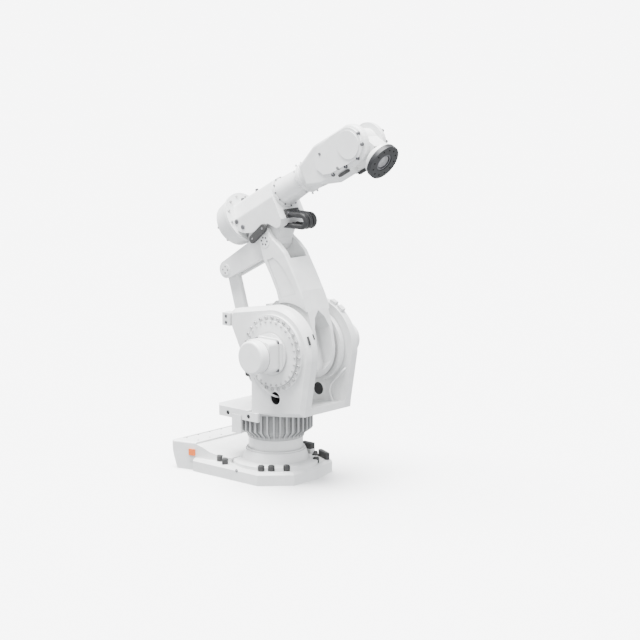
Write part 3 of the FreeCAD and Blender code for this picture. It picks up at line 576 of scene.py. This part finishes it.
def dome(radius: float, height: float, ease: float) -> list[tuple[float, float]]:
    """Half profile of a cap with a rounded rim.

    Args:
        radius: Radius of the cap.
        height: Height of the cap.
        ease: Radius of its rim.

    Returns:
        A profile that starts and ends on the axis.
    """
    rim = [(radius - ease + ease * math.cos(a), height - ease + ease * math.sin(a))
           for a in (math.radians(d) for d in (0, 30, 60, 90))]
    return [(0.0, 0.0), (radius, 0.0), *rim, (0.0, height)]


# ---- bolts ------------------------------------------------------------------------------------
@dataclass
class BoltMaker:
    """Socket-head bolts set round a circle or along a row by one node tree each."""

    corners: int = 12
    trees: dict[str, bpy.types.NodeTree] = field(default_factory=dict)

    def head(self, radius: float, height: float) -> bpy.types.Object:
        """One bolt head with a washer and a hexagon socket, along local Z.

        Args:
            radius: Radius of the head.
            height: Height of the head.

        Returns:
            The object.
        """
        bm = bmesh.new()
        n = self.corners
        bevel = radius * 0.16
        rings = [
            (radius * 1.32, 0.0, False), (radius * 1.32, height * 0.16, False), (radius, height * 0.18, False),
            (radius, height - bevel, False), (radius - bevel, height, False), (radius * 0.56, height, True),
            (radius * 0.5, height * 0.45, True),
        ]
        loops = []
        for r, z, hexagon in rings:
            loop = []
            for i in range(n):
                a = 2 * math.pi * i / n
                flat = math.cos(math.pi / 6) / math.cos((a % (math.pi / 3)) - math.pi / 6) if hexagon else 1.0
                loop.append(bm.verts.new((r * flat * math.cos(a), r * flat * math.sin(a), z)))
            loops.append(loop)
        for lower, upper in zip(loops, loops[1:]):
            for i in range(n):
                bm.faces.new((lower[i], lower[(i + 1) % n], upper[(i + 1) % n], upper[i]))
        bm.faces.new(loops[-1])
        bm.faces.new(list(reversed(loops[0])))
        return from_bmesh("bolt_head", bm)

    def tree(self, kind: str) -> bpy.types.NodeTree:
        """The node tree that repeats a head.

        Args:
            kind: "ring" or "row".

        Returns:
            The tree, built once.
        """
        if kind in self.trees:
            return self.trees[kind]
        tree = bpy.data.node_groups.new(f"bolt_{kind}", "GeometryNodeTree")
        face = tree.interface
        face.new_socket("Geometry", in_out="INPUT", socket_type="NodeSocketGeometry")
        face.new_socket("Count", in_out="INPUT", socket_type="NodeSocketInt")
        face.new_socket("Reach", in_out="INPUT", socket_type="NodeSocketFloat")
        face.new_socket("Material", in_out="INPUT", socket_type="NodeSocketMaterial")
        face.new_socket("Geometry", in_out="OUTPUT", socket_type="NodeSocketGeometry")
        group_in = tree.nodes.new("NodeGroupInput")
        group_out = tree.nodes.new("NodeGroupOutput")
        if kind == "ring":
            points = tree.nodes.new("GeometryNodeMeshCircle")
            tree.links.new(group_in.outputs["Count"], points.inputs["Vertices"])
            tree.links.new(group_in.outputs["Reach"], points.inputs["Radius"])
        else:
            points = tree.nodes.new("GeometryNodeMeshLine")
            points.mode = "END_POINTS"
            end = tree.nodes.new("ShaderNodeCombineXYZ")
            tree.links.new(group_in.outputs["Count"], points.inputs["Count"])
            tree.links.new(group_in.outputs["Reach"], end.inputs["X"])
            tree.links.new(end.outputs[0], points.inputs["Offset"])
        spread = tree.nodes.new("GeometryNodeInstanceOnPoints")
        real = tree.nodes.new("GeometryNodeRealizeInstances")
        paint = tree.nodes.new("GeometryNodeSetMaterial")
        tree.links.new(points.outputs[0], spread.inputs["Points"])
        tree.links.new(group_in.outputs["Geometry"], spread.inputs["Instance"])
        tree.links.new(spread.outputs[0], real.inputs[0])
        tree.links.new(real.outputs[0], paint.inputs["Geometry"])
        tree.links.new(group_in.outputs["Material"], paint.inputs["Material"])
        tree.links.new(paint.outputs[0], group_out.inputs[0])
        self.trees[kind] = tree
        return tree

    def repeat(self, name: str, piece: bpy.types.Object, kind: str, count: int, reach: float,
               matrix: Matrix, finish: Finish) -> bpy.types.Object:
        """Copies of one piece as one plain mesh.

        Args:
            name: The new piece's name.
            piece: What repeats, removed here.
            kind: "ring" or "row".
            count: How many copies.
            reach: Radius of the ring, or length of the row.
            matrix: Local to world; the copies stand along local Z.
            finish: Their finish.

        Returns:
            The object.
        """
        tree = self.tree(kind)
        modifier = piece.modifiers.new("copies", "NODES")
        modifier.node_group = tree
        wanted = {"Count": count, "Reach": reach, "Material": finish.material()}
        for item in tree.interface.items_tree:
            if item.in_out == "INPUT" and item.name in wanted:
                modifier[item.identifier] = wanted[item.name]
        bpy.context.view_layer.update()
        mesh = bpy.data.meshes.new_from_object(piece.evaluated_get(bpy.context.evaluated_depsgraph_get()))
        bpy.data.objects.remove(piece)
        mesh.transform(matrix)
        return link(name, mesh)


BOLTS = BoltMaker()


def bolt_ring(name: str, body: str, centre: Vector, normal: Vector, radius: float, count: int,
              size: tuple[float, float], finish: Finish = Finish.BOLT, start: float = 0.0) -> None:
    """A ring of bolts on a body.

    Args:
        name: The piece's name.
        body: The body it rides on.
        centre: Centre of the ring, on the seat face.
        normal: Direction the heads face.
        radius: Radius of the ring.
        count: How many bolts.
        size: Radius and height of a head.
        finish: Finish of the bolts.
        start: Turn of the first bolt, in degrees.
    """
    matrix = axis_matrix(centre, normal) @ Matrix.Rotation(math.radians(start), 4, "Z")
    keep(BOLTS.repeat(name, BOLTS.head(*size), "ring", count, radius, matrix, finish), body, finish)


def bolt_row(name: str, body: str, first: Vector, last: Vector, normal: Vector, count: int,
             size: tuple[float, float], finish: Finish = Finish.BOLT) -> None:
    """A row of bolts on a body.

    Args:
        name: The piece's name.
        body: The body it rides on.
        first: First bolt, on the seat face.
        last: Last bolt.
        normal: Direction the heads face.
        count: How many bolts.
        size: Radius and height of a head.
        finish: Finish of the bolts.
    """
    keep(BOLTS.repeat(name, BOLTS.head(*size), "row", count, (last - first).length,
                      row_matrix(first, last, normal), finish), body, finish)


def row_matrix(first: Vector, last: Vector, normal: Vector) -> Matrix:
    """A matrix that puts local X along a row and local Z on a normal.

    Args:
        first: Start of the row.
        last: End of the row.
        normal: Direction the pieces face.

    Returns:
        The matrix.
    """
    z = normal.normalized()
    run = last - first
    x = (run - z * run.dot(z)).normalized()
    matrix = Matrix((x, z.cross(x), z)).transposed().to_4x4()
    matrix.translation = first
    return matrix


def cap_row(name: str, body: str, profile: Sequence[tuple[float, float]], first: Vector, last: Vector,
            normal: Vector, count: int, finish: Finish) -> None:
    """A row of equal turned pieces on a body.

    Args:
        name: The piece's name.
        body: The body it rides on.
        profile: Half profile of one of them.
        first: Foot of the first.
        last: Foot of the last.
        normal: Direction they face.
        count: How many.
        finish: Their finish.
    """
    piece = turned("cap", profile, Vector((0, 0, 0)), Vector((0, 0, 1)), 32)
    matrix = row_matrix(first, last, normal)
    keep(BOLTS.repeat(name, piece, "row", count, (last - first).length, matrix, finish), body, finish)


# ---- sub-assemblies ---------------------------------------------------------------------------
UP = Vector((0, 0, 1))
DOWN = Vector((0, 0, -1))
AHEAD = Vector((1, 0, 0))
ASTERN = Vector((-1, 0, 0))
IDENTITY = Matrix.Identity(4)
SIDES = ((-1, "right"), (1, "left"))


@dataclass
class Base:
    """Floor plate, pedestal and rear connector box."""

    body: str = "base"
    cap: tuple[float, float, float] = (0.029, 0.056, 0.014)
    socket_y: float = 0.145
    socket_z: float = 0.136
    socket_depth: float = 0.066
    panel_half: float = 0.222
    panel_low: float = 0.07
    panel_high: float = 0.19
    panel_thick: float = 0.004
    lid_inset: float = 14 * MM
    plug_x: float = -0.078
    plug_z: float = 0.1

    def build(self) -> None:
        """Dresses the nodes and adds the black anchor domes, which paint the shade of their pockets, the screws
        and the sockets.
        """
        for node in ("base_plate", "base_pedestal", "rear_connector_box"):
            dress(node, Finish.WHITE)
        dress("connector_box_lid", Finish.COVER)
        dress("brake_release_button", Finish.ORANGE)
        dress("release_tag_plate", Finish.TAG)
        dress("slewing_stop_blocks", Finish.RUBBER)
        self.anchors()
        self.lid()
        self.sockets()
        self.plugs()

    def anchors(self) -> None:
        """Black domes over the anchor bolts: partly the dark of the bolts, partly painted shade of the pockets
        they sit in.
        """
        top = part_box("base_plate")[1].z
        for mount in frame["record"]["mounts"]:
            if mount["name"].startswith("anchor_holes"):
                half = mount["dims"]["spacing_y_mm"] * MM / 2
                x = mount["pos_m"][0]
                cap_row(f"{mount['name']}_caps", self.body, dome(*self.cap), Vector((x, -half, top)),
                        Vector((x, half, top)), UP, 2, Finish.RUBBER)

    def lid(self) -> None:
        """Screws along both edges of the lid."""
        low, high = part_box("connector_box_lid")
        inset = self.lid_inset
        for name, x in (("rear", low.x + inset), ("front", high.x - inset)):
            bolt_row(f"lid_{name}_screws", self.body, Vector((x, low.y + 2 * inset, high.z)),
                     Vector((x, high.y - 2 * inset, high.z)), UP, 5, (0.007, 0.003))

    def sockets(self) -> None:
        """Cable sockets in the recess of the rear face, on their panel."""
        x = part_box("rear_connector_box")[0].x + self.socket_depth
        front = x - self.panel_thick
        panel = block("socket_panel", (front, -self.panel_half, self.panel_low),
                      (x, self.panel_half, self.panel_high), 0.0015, IDENTITY)
        keep(panel, self.body, Finish.STEEL)
        rows = (
            ("socket_shells", collar(0.021, 0.034, 0.0, 0.026, 0.003), Finish.BOLT),
            ("socket_cores", dome(0.021, 0.014, 0.002), Finish.DARK),
        )
        for name, profile, finish in rows:
            cap_row(name, self.body, profile, Vector((front, -self.socket_y, self.socket_z)),
                    Vector((front, self.socket_y, self.socket_z)), ASTERN, 3, finish)

    def plugs(self) -> None:
        """One round plug in each side of the floor plate."""
        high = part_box("base_plate")[1]
        for side, name in SIDES:
            plug = turned(f"{name}_plate_plug", collar(0.006, 0.015, -0.002, 0.002, 0.001),
                          Vector((self.plug_x, side * high.y, self.plug_z)), Vector((0, side, 0)), 24)
            keep(plug, self.body, Finish.BOLT)


@dataclass
class Column:
    """Turning column with its two gear flanges and drive motors."""

    body: str = "column"
    gear_rings: tuple[tuple[str, float, float, tuple[float, float]], ...] = (
        ("outer", 0.366, 0.324, (0.0145, 0.015)), ("inner", 0.384, 0.285, (0.009, 0.009)))
    gear_count: int = 28
    motor_seat: float = 0.43
    motor_bolt_r: float = 0.178
    motor_head: tuple[float, float] = (0.014, 0.016)
    seal_y: float = 0.56
    gland: tuple[float, float, float] = (0.205, 0.495, 1.087)
    port: tuple[float, float] = (0.318, 0.815)
    port_r: float = 0.058
    port_face: float = 0.34
    shelf_half: float = 0.356
    shelf_holes: tuple[float, float, float] = (-0.264, -0.005, 0.6)
    marks: tuple[tuple[str, float, float, float, float, float], ...] = (
        ("wide", 0.695, -0.311, 1.381, 0.04, 0.011), ("narrow", 0.684, -0.24, 1.405, 0.025, 0.0075))

    def build(self) -> None:
        """Dresses the nodes and adds bolts, rims, plugs and marks."""
        dress("slewing_ring", Finish.RING)
        for node in ("column_floor", "column_right_side", "column_left_side", "rear_shelf", "right_stop_ear",
                     "left_stop_ear", "right_gear_flange", "left_gear_flange", "left_rim_blocks"):
            dress(node, Finish.WHITE)
        for node in ("right_drive_motor", "left_drive_motor", "right_motor_cap", "left_motor_cap",
                     "slewing_motor", "column_cables"):
            dress(node, Finish.COVER)
        dress("column_rear_bumper", Finish.RUBBER)
        # Painted shade: the port plugs are near-black to darken the deep end of the cable ports.
        dress("port_plugs", Finish.DARK)
        for side, name in SIDES:
            self.drive(side, name)
            self.motor(side, name)
            self.cable_port(side, name)
            self.shelf(side, name)
            self.ear(side, name)
        self.index_marks()

    def drive(self, side: int, name: str) -> None:
        """Bolts of one gear flange.

        Args:
            side: -1 for the robot's right, 1 for its left.
            name: Word for the side in piece names.
        """
        out = Vector((0, side, 0))
        for ring, seat, radius, head in self.gear_rings:
            centre = Vector((SHOULDER.x, side * seat, SHOULDER.z))
            bolt_ring(f"{name}_gear_{ring}_bolts", self.body, centre, out, radius, self.gear_count, head,
                      Finish.PALE_BOLT)

    def motor(self, side: int, name: str) -> None:
        """Corner bolts, seal and cable gland of one drive motor.

        Args:
            side: -1 for the robot's right, 1 for its left.
            name: Word for the side in piece names.
        """
        out = Vector((0, side, 0))
        centre = Vector((SHOULDER.x, side * self.motor_seat, SHOULDER.z))
        bolt_ring(f"{name}_motor_bolts", self.body, centre, out, self.motor_bolt_r, 4, self.motor_head,
                  Finish.BOLT, 45.0)
        seal = turned(f"{name}_motor_seal", collar(0.13, 0.1512, -0.002, 0.002, 0.0008),
                      Vector((SHOULDER.x, side * self.seal_y, SHOULDER.z)), out)
        keep(seal, self.body, Finish.RUBBER)
        x, y, z = self.gland
        gland = turned(f"{name}_motor_gland", collar(0.0092, 0.017, 0.0, 0.026, 0.004),
                       Vector((x, side * y, z)), DOWN, 24)
        keep(gland, self.body, Finish.RUBBER)

    def cable_port(self, side: int, name: str) -> None:
        """Rim of one cable port, and a black sleeve inside it that paints the shade of the bore.

        Args:
            side: -1 for the robot's right, 1 for its left.
            name: Word for the side in piece names.
        """
        x, z = self.port
        foot = Vector((x, side * self.port_face, z))
        out = Vector((0, side, 0))
        r = self.port_r
        # The black sleeve is painted shade inside the bore.
        rows = (("rim", collar(r + 0.001, r + 0.014, -0.001, 0.008, 0.003), Finish.COVER),
                ("shade_liner", collar(r - 0.006, r - 0.0005, -0.094, -0.002, 0.001), Finish.DARK))
        for word, profile, finish in rows:
            keep(turned(f"{name}_port_{word}", profile, foot, out, 48), self.body, finish)

    def shelf(self, side: int, name: str) -> None:
        """Black domes, flush with one side of the rear shelf, that paint the shade inside its two holes.

        Args:
            side: -1 for the robot's right, 1 for its left.
            name: Word for the side in piece names.
        """
        first, last, z = self.shelf_holes
        depth = 0.012
        y = side * (self.shelf_half - depth)
        # Painted shade: these flush black domes darken the two shelf holes.
        cap_row(f"{name}_shelf_hole_shade", self.body, dome(0.0196, depth, 0.004), Vector((first, y, z)),
                Vector((last, y, z)), Vector((0, side, 0)), 2, Finish.DARK)

    def ear(self, side: int, name: str) -> None:
        """Two bolts through one stop ear.

        Args:
            side: -1 for the robot's right, 1 for its left.
            name: Word for the side in piece names.
        """
        low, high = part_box(f"{name}_stop_ear")
        y = high.y if side > 0 else low.y
        x = (low.x + high.x) / 2
        bolt_row(f"{name}_ear_bolts", self.body, Vector((x, y, low.z + 0.03)), Vector((x, y, high.z - 0.03)),
                 Vector((0, side, 0)), 2, (0.012, 0.005))

    def index_marks(self) -> None:
        """Blank black index blocks on the round rim of the right side."""
        for name, x, y, z, half_length, half_width in self.marks:
            centre = Vector((x, y, z))
            out = Vector((x - SHOULDER.x, 0, z - SHOULDER.z))
            piece = block(f"index_mark_{name}", (-0.004, -half_width, -half_length),
                          (0.004, half_width, half_length), 0.001, Place(centre, out).matrix())
            keep(piece, self.body, Finish.RUBBER)


@dataclass
class LowerArm:
    """Forked lower arm with its hub."""

    body: str = "lower_arm"
    web_half: float = 0.135
    pin_half: float = 0.16

    def build(self) -> None:
        """Dresses the nodes and adds the bolts."""
        dress("lower_arm", Finish.WHITE)
        dress("lower_arm_bosses", Finish.COVER)
        dress("elbow_pin", Finish.COVER)
        for side, name in SIDES:
            out = Vector((0, side, 0))
            bolt_ring(f"hub_{name}_bolts", self.body, SHOULDER + out * self.web_half, out, 0.24, 16,
                      (0.011, 0.01), Finish.BOLT)
            bolt_ring(f"elbow_{name}_screws", self.body, ELBOW + out * self.pin_half, out, 0.034, 6,
                      (0.007, 0.005), Finish.BOLT)


@dataclass
class Linkage:
    """Crank and rod behind the lower arm."""

    def build(self) -> None:
        """Dresses the nodes and adds the pin screws."""
        for node in ("crank", "linkage_rod"):
            dress(node, Finish.WHITE)
        dress("crank_pin", Finish.STEEL)
        dress("clevis_pin", Finish.COVER)
        low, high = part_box("clevis_pin")
        x, z = (low.x + high.x) / 2, (low.z + high.z) / 2
        for side, name in SIDES:
            face = high.y if side > 0 else low.y
            bolt_ring(f"clevis_{name}_screws", "upper_arm", Vector((x, face, z)), Vector((0, side, 0)), 0.03, 4,
                      (0.006, 0.004), Finish.BOLT)


@dataclass
class UpperArm:
    """House, lever and rear drum of the upper arm."""

    body: str = "upper_arm"
    half: float = 0.166
    front: float = 0.29
    rear: float = -0.245
    top: float = 0.128

    def build(self) -> None:
        """Dresses the nodes and adds bolts, plugs and the hose fittings."""
        for node in ("upper_arm_house", "rear_drum"):
            dress(node, Finish.WHITE)
        dress("rear_drum_cover", Finish.COVER)
        dress("elbow_stop_pad", Finish.RUBBER)
        dress("hose_loop", Finish.HOSE)
        self.top_bolts()
        self.drum()
        self.pad()
        self.hoses()

    def top_bolts(self) -> None:
        """Pairs of bolts that stand on top of the house."""
        for name, x in (("front", 0.052), ("rear", -0.153)):
            bolt_row(f"house_{name}_top_bolts", self.body, UPPER.point(x, -0.06, self.top),
                     UPPER.point(x, 0.06, self.top), UPPER.turn(0, 0, 1), 2, (0.015, 0.022))
        for side, word in SIDES:
            out = Vector((0, side, 0))
            for name, x, z, r in (("upper", -0.222, -0.04, 0.022), ("lower", -0.175, -0.115, 0.022)):
                plug = turned(f"house_{word}_{name}_plug", dome(r, 0.009, 0.004),
                              UPPER.point(x, side * self.half, z), out, 32)
                keep(plug, self.body, Finish.BOLT)

    def drum(self) -> None:
        """Bolts round the front and the rear of the drum."""
        bolt_ring("drum_front_bolts", self.body, UPPER.point(self.rear, 0, 0), UPPER.turn(1, 0, 0), 0.205, 12,
                  (0.011, 0.012), Finish.PALE_BOLT, 8.0)
        bolt_ring("drum_cover_bolts", self.body, UPPER.point(-0.447, 0, 0), UPPER.turn(-1, 0, 0), 0.18, 8,
                  (0.01, 0.009), Finish.BOLT)

    def pad(self) -> None:
        """Two screws that hold the stop pad."""
        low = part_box("elbow_stop_pad")[0]
        c, s = math.cos(math.radians(12)), math.sin(math.radians(12))
        for name, t in (("lower", -0.08), ("upper", 0.08)):
            plug = turned(f"pad_{name}_screw", dome(0.01, 0.003, 0.001),
                          UPPER.point(-0.022 + t * c, low.y, -0.246 + t * s), Vector((0, -1, 0)), 24)
            keep(plug, self.body, Finish.STEEL)

    def hoses(self) -> None:
        """Clamp plate and fittings of the three hoses."""
        plate = block("hose_clamp", (self.front, -0.094, -0.242), (self.front + 0.014, 0.094, -0.158), 0.003,
                      UPPER.matrix())
        keep(plate, self.body, Finish.RUBBER)
        cap_row("hose_fittings", self.body, collar(0.0255, 0.0265, 0.0, 0.03, 0.002),
                UPPER.point(self.front, -0.055, -0.2), UPPER.point(self.front, 0.055, -0.2),
                AHEAD, 3, Finish.BOLT)


@dataclass
class Wrist:
    """Forearm, fork, bending unit and tool flange."""

    body: str = "forearm"
    cheek_y: float = 0.15
    cheek_head: tuple[float, float] = (0.013, 0.022)
    cheek_bolts: tuple[tuple[float, float], ...] = (
        (0.991, 0.07), (1.474, 0.041), (1.468, -0.059), (1.366, -0.146), (1.206, -0.15), (1.122, -0.124),
        (1.04, -0.153))

    def build(self) -> None:
        """Dresses the nodes and adds bolts, the black bars of painted shade under the cheeks and the tool face.
        """
        for node in ("forearm_tube", "wrist_fork", "bend_unit"):
            dress(node, Finish.WHITE)
        for node in ("wrist_right_plate", "wrist_left_plate", "wrist_right_cap", "wrist_left_cap"):
            dress(node, Finish.COVER)
        dress("tool_flange", Finish.TOOL)
        self.cheeks()
        self.tube()
        self.tool()

    def cheeks(self) -> None:
        """Dark bolts of the wrist covers, and a black bar under each cheek that paints the shade of a dark slot
        under its lower edge.
        """
        for side, word in SIDES:
            out = Vector((0, side, 0))
            for i, (x, z) in enumerate(self.cheek_bolts, 1):
                head = BOLTS.head(*self.cheek_head)
                head.data.transform(axis_matrix(UPPER.point(x, side * self.cheek_y, z), out))
                head.name = f"cheek_{word}_bolt_{i}"
                keep(head, self.body, Finish.BOLT)
            # Painted shade: this black bar stands in for the dark slot of shade under the cheek's lower edge.
            low, high = sorted((side * 0.11, side * 0.15))
            stop = block(f"cheek_{word}_stop", (1.08, low, -0.196), (1.2, high, -0.172), 0.006, UPPER.matrix())
            keep(stop, self.body, Finish.RUBBER)

    def tube(self) -> None:
        """Bolts of both tube flanges."""
        bolt_ring("tube_front_bolts", self.body, UPPER.point(0.61, 0, 0), UPPER.turn(-1, 0, 0), 0.146, 12,
                  (0.009, 0.009), Finish.PALE_BOLT)
        bolt_ring("tube_rear_bolts", self.body, UPPER.point(0.316, 0, 0), UPPER.turn(1, 0, 0), 0.137, 12,
                  (0.007, 0.007), Finish.BOLT)

    def tool(self) -> None:
        """Steel centre, screws and rim of the tool flange."""
        face = TOOL.origin
        out = TOOL.turn(1, 0, 0)
        centre = turned("tool_centre_disc", dome(0.058, 0.007, 0.002), face - out * 0.02, out)
        keep(centre, "tool", Finish.STEEL)
        ring = turned("tool_bore_ring", collar(0.064, 0.0795, 0.0, 0.015, 0.002), face - out * 0.02, out)
        keep(ring, "tool", Finish.BOLT)
        bolt_ring("tool_inner_screws", "tool", face - out * 0.004, out, 0.098, 12, (0.006, 0.0035),
                  Finish.STEEL, 15.0)


# ---- studio -----------------------------------------------------------------------------------
@dataclass
class Studio:
    """Pale floor, soft lights and the camera."""

    target: Vector = Vector((0.1283, 0.4625, 1.3913))
    distance: float = 20.0
    azimuth: float = 42.0
    elevation: float = 10.5
    lens: float = 122.28
    sensor: float = 36.0

    def build(self) -> None:
        """Makes the floor, the world, the lights and the camera."""
        self.floor()
        self.world()
        self.sun("key", (-0.1, -0.1, 1.0), 22.0, 50.0)
        self.sun("side", (1.0, -0.5, 0.3), 1.2, 60.0)
        self.camera()

    def floor(self) -> None:
        """A wide plain floor."""
        bm = bmesh.new()
        bmesh.ops.create_grid(bm, x_segments=1, y_segments=1, size=400.0)
        obj = from_bmesh("studio_floor", bm)
        s = Shader("studio_floor")
        tint = s.mix(s.noise(0.4, 2.0), (0.9, 0.9, 0.9), (0.93, 0.93, 0.93))
        obj.data.materials.append(s.finish({"Base Color": tint, "Roughness": 0.8}))
        obj.visible_diffuse = False
        obj.visible_glossy = False

    def world(self) -> None:
        """An even pale sky."""
        world = bpy.data.worlds.new("studio_world")
        world.use_nodes = True
        back = world.node_tree.nodes["Background"]
        back.inputs["Color"].default_value = (0.95, 0.97, 1.0, 1.0)
        back.inputs["Strength"].default_value = 1.6
        bpy.context.scene.world = world

    def sun(self, name: str, towards: tuple[float, float, float], power: float, spread: float) -> None:
        """A soft light from far away.

        Args:
            name: The light's name.
            towards: Direction from the robot to the light.
            power: Its strength.
            spread: How wide it looks, in degrees.
        """
        data = bpy.data.lights.new(name, "SUN")
        data.energy = power
        data.angle = math.radians(spread)
        obj = bpy.data.objects.new(name, data)
        obj.rotation_euler = (-Vector(towards)).to_track_quat("-Z", "Y").to_euler()
        bpy.context.scene.collection.objects.link(obj)

    def camera(self) -> None:
        """The camera, in front and to the right of the robot."""
        a, e = math.radians(self.azimuth), math.radians(self.elevation)
        back = Vector((math.sin(a) * math.cos(e), -math.cos(a) * math.cos(e), math.sin(e)))
        data = bpy.data.cameras.new("camera")
        data.lens = self.lens
        data.sensor_width = self.sensor
        data.clip_end = 200.0
        obj = bpy.data.objects.new("camera", data)
        obj.location = self.target + back * self.distance
        obj.rotation_euler = (-back).to_track_quat("-Z", "Y").to_euler()
        bpy.context.scene.collection.objects.link(obj)
        bpy.context.scene.camera = obj


def main() -> None:
    """Builds every sub-assembly in order."""
    logging.basicConfig(level=logging.INFO, format="%(name)s: %(message)s")
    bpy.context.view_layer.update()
    for part in (Base(), Column(), LowerArm(), Linkage(), UpperArm(), Wrist(), Studio()):
        LOG.info("building %s", type(part).__name__)
        part.build()


if __name__ == "__main__":
    main()
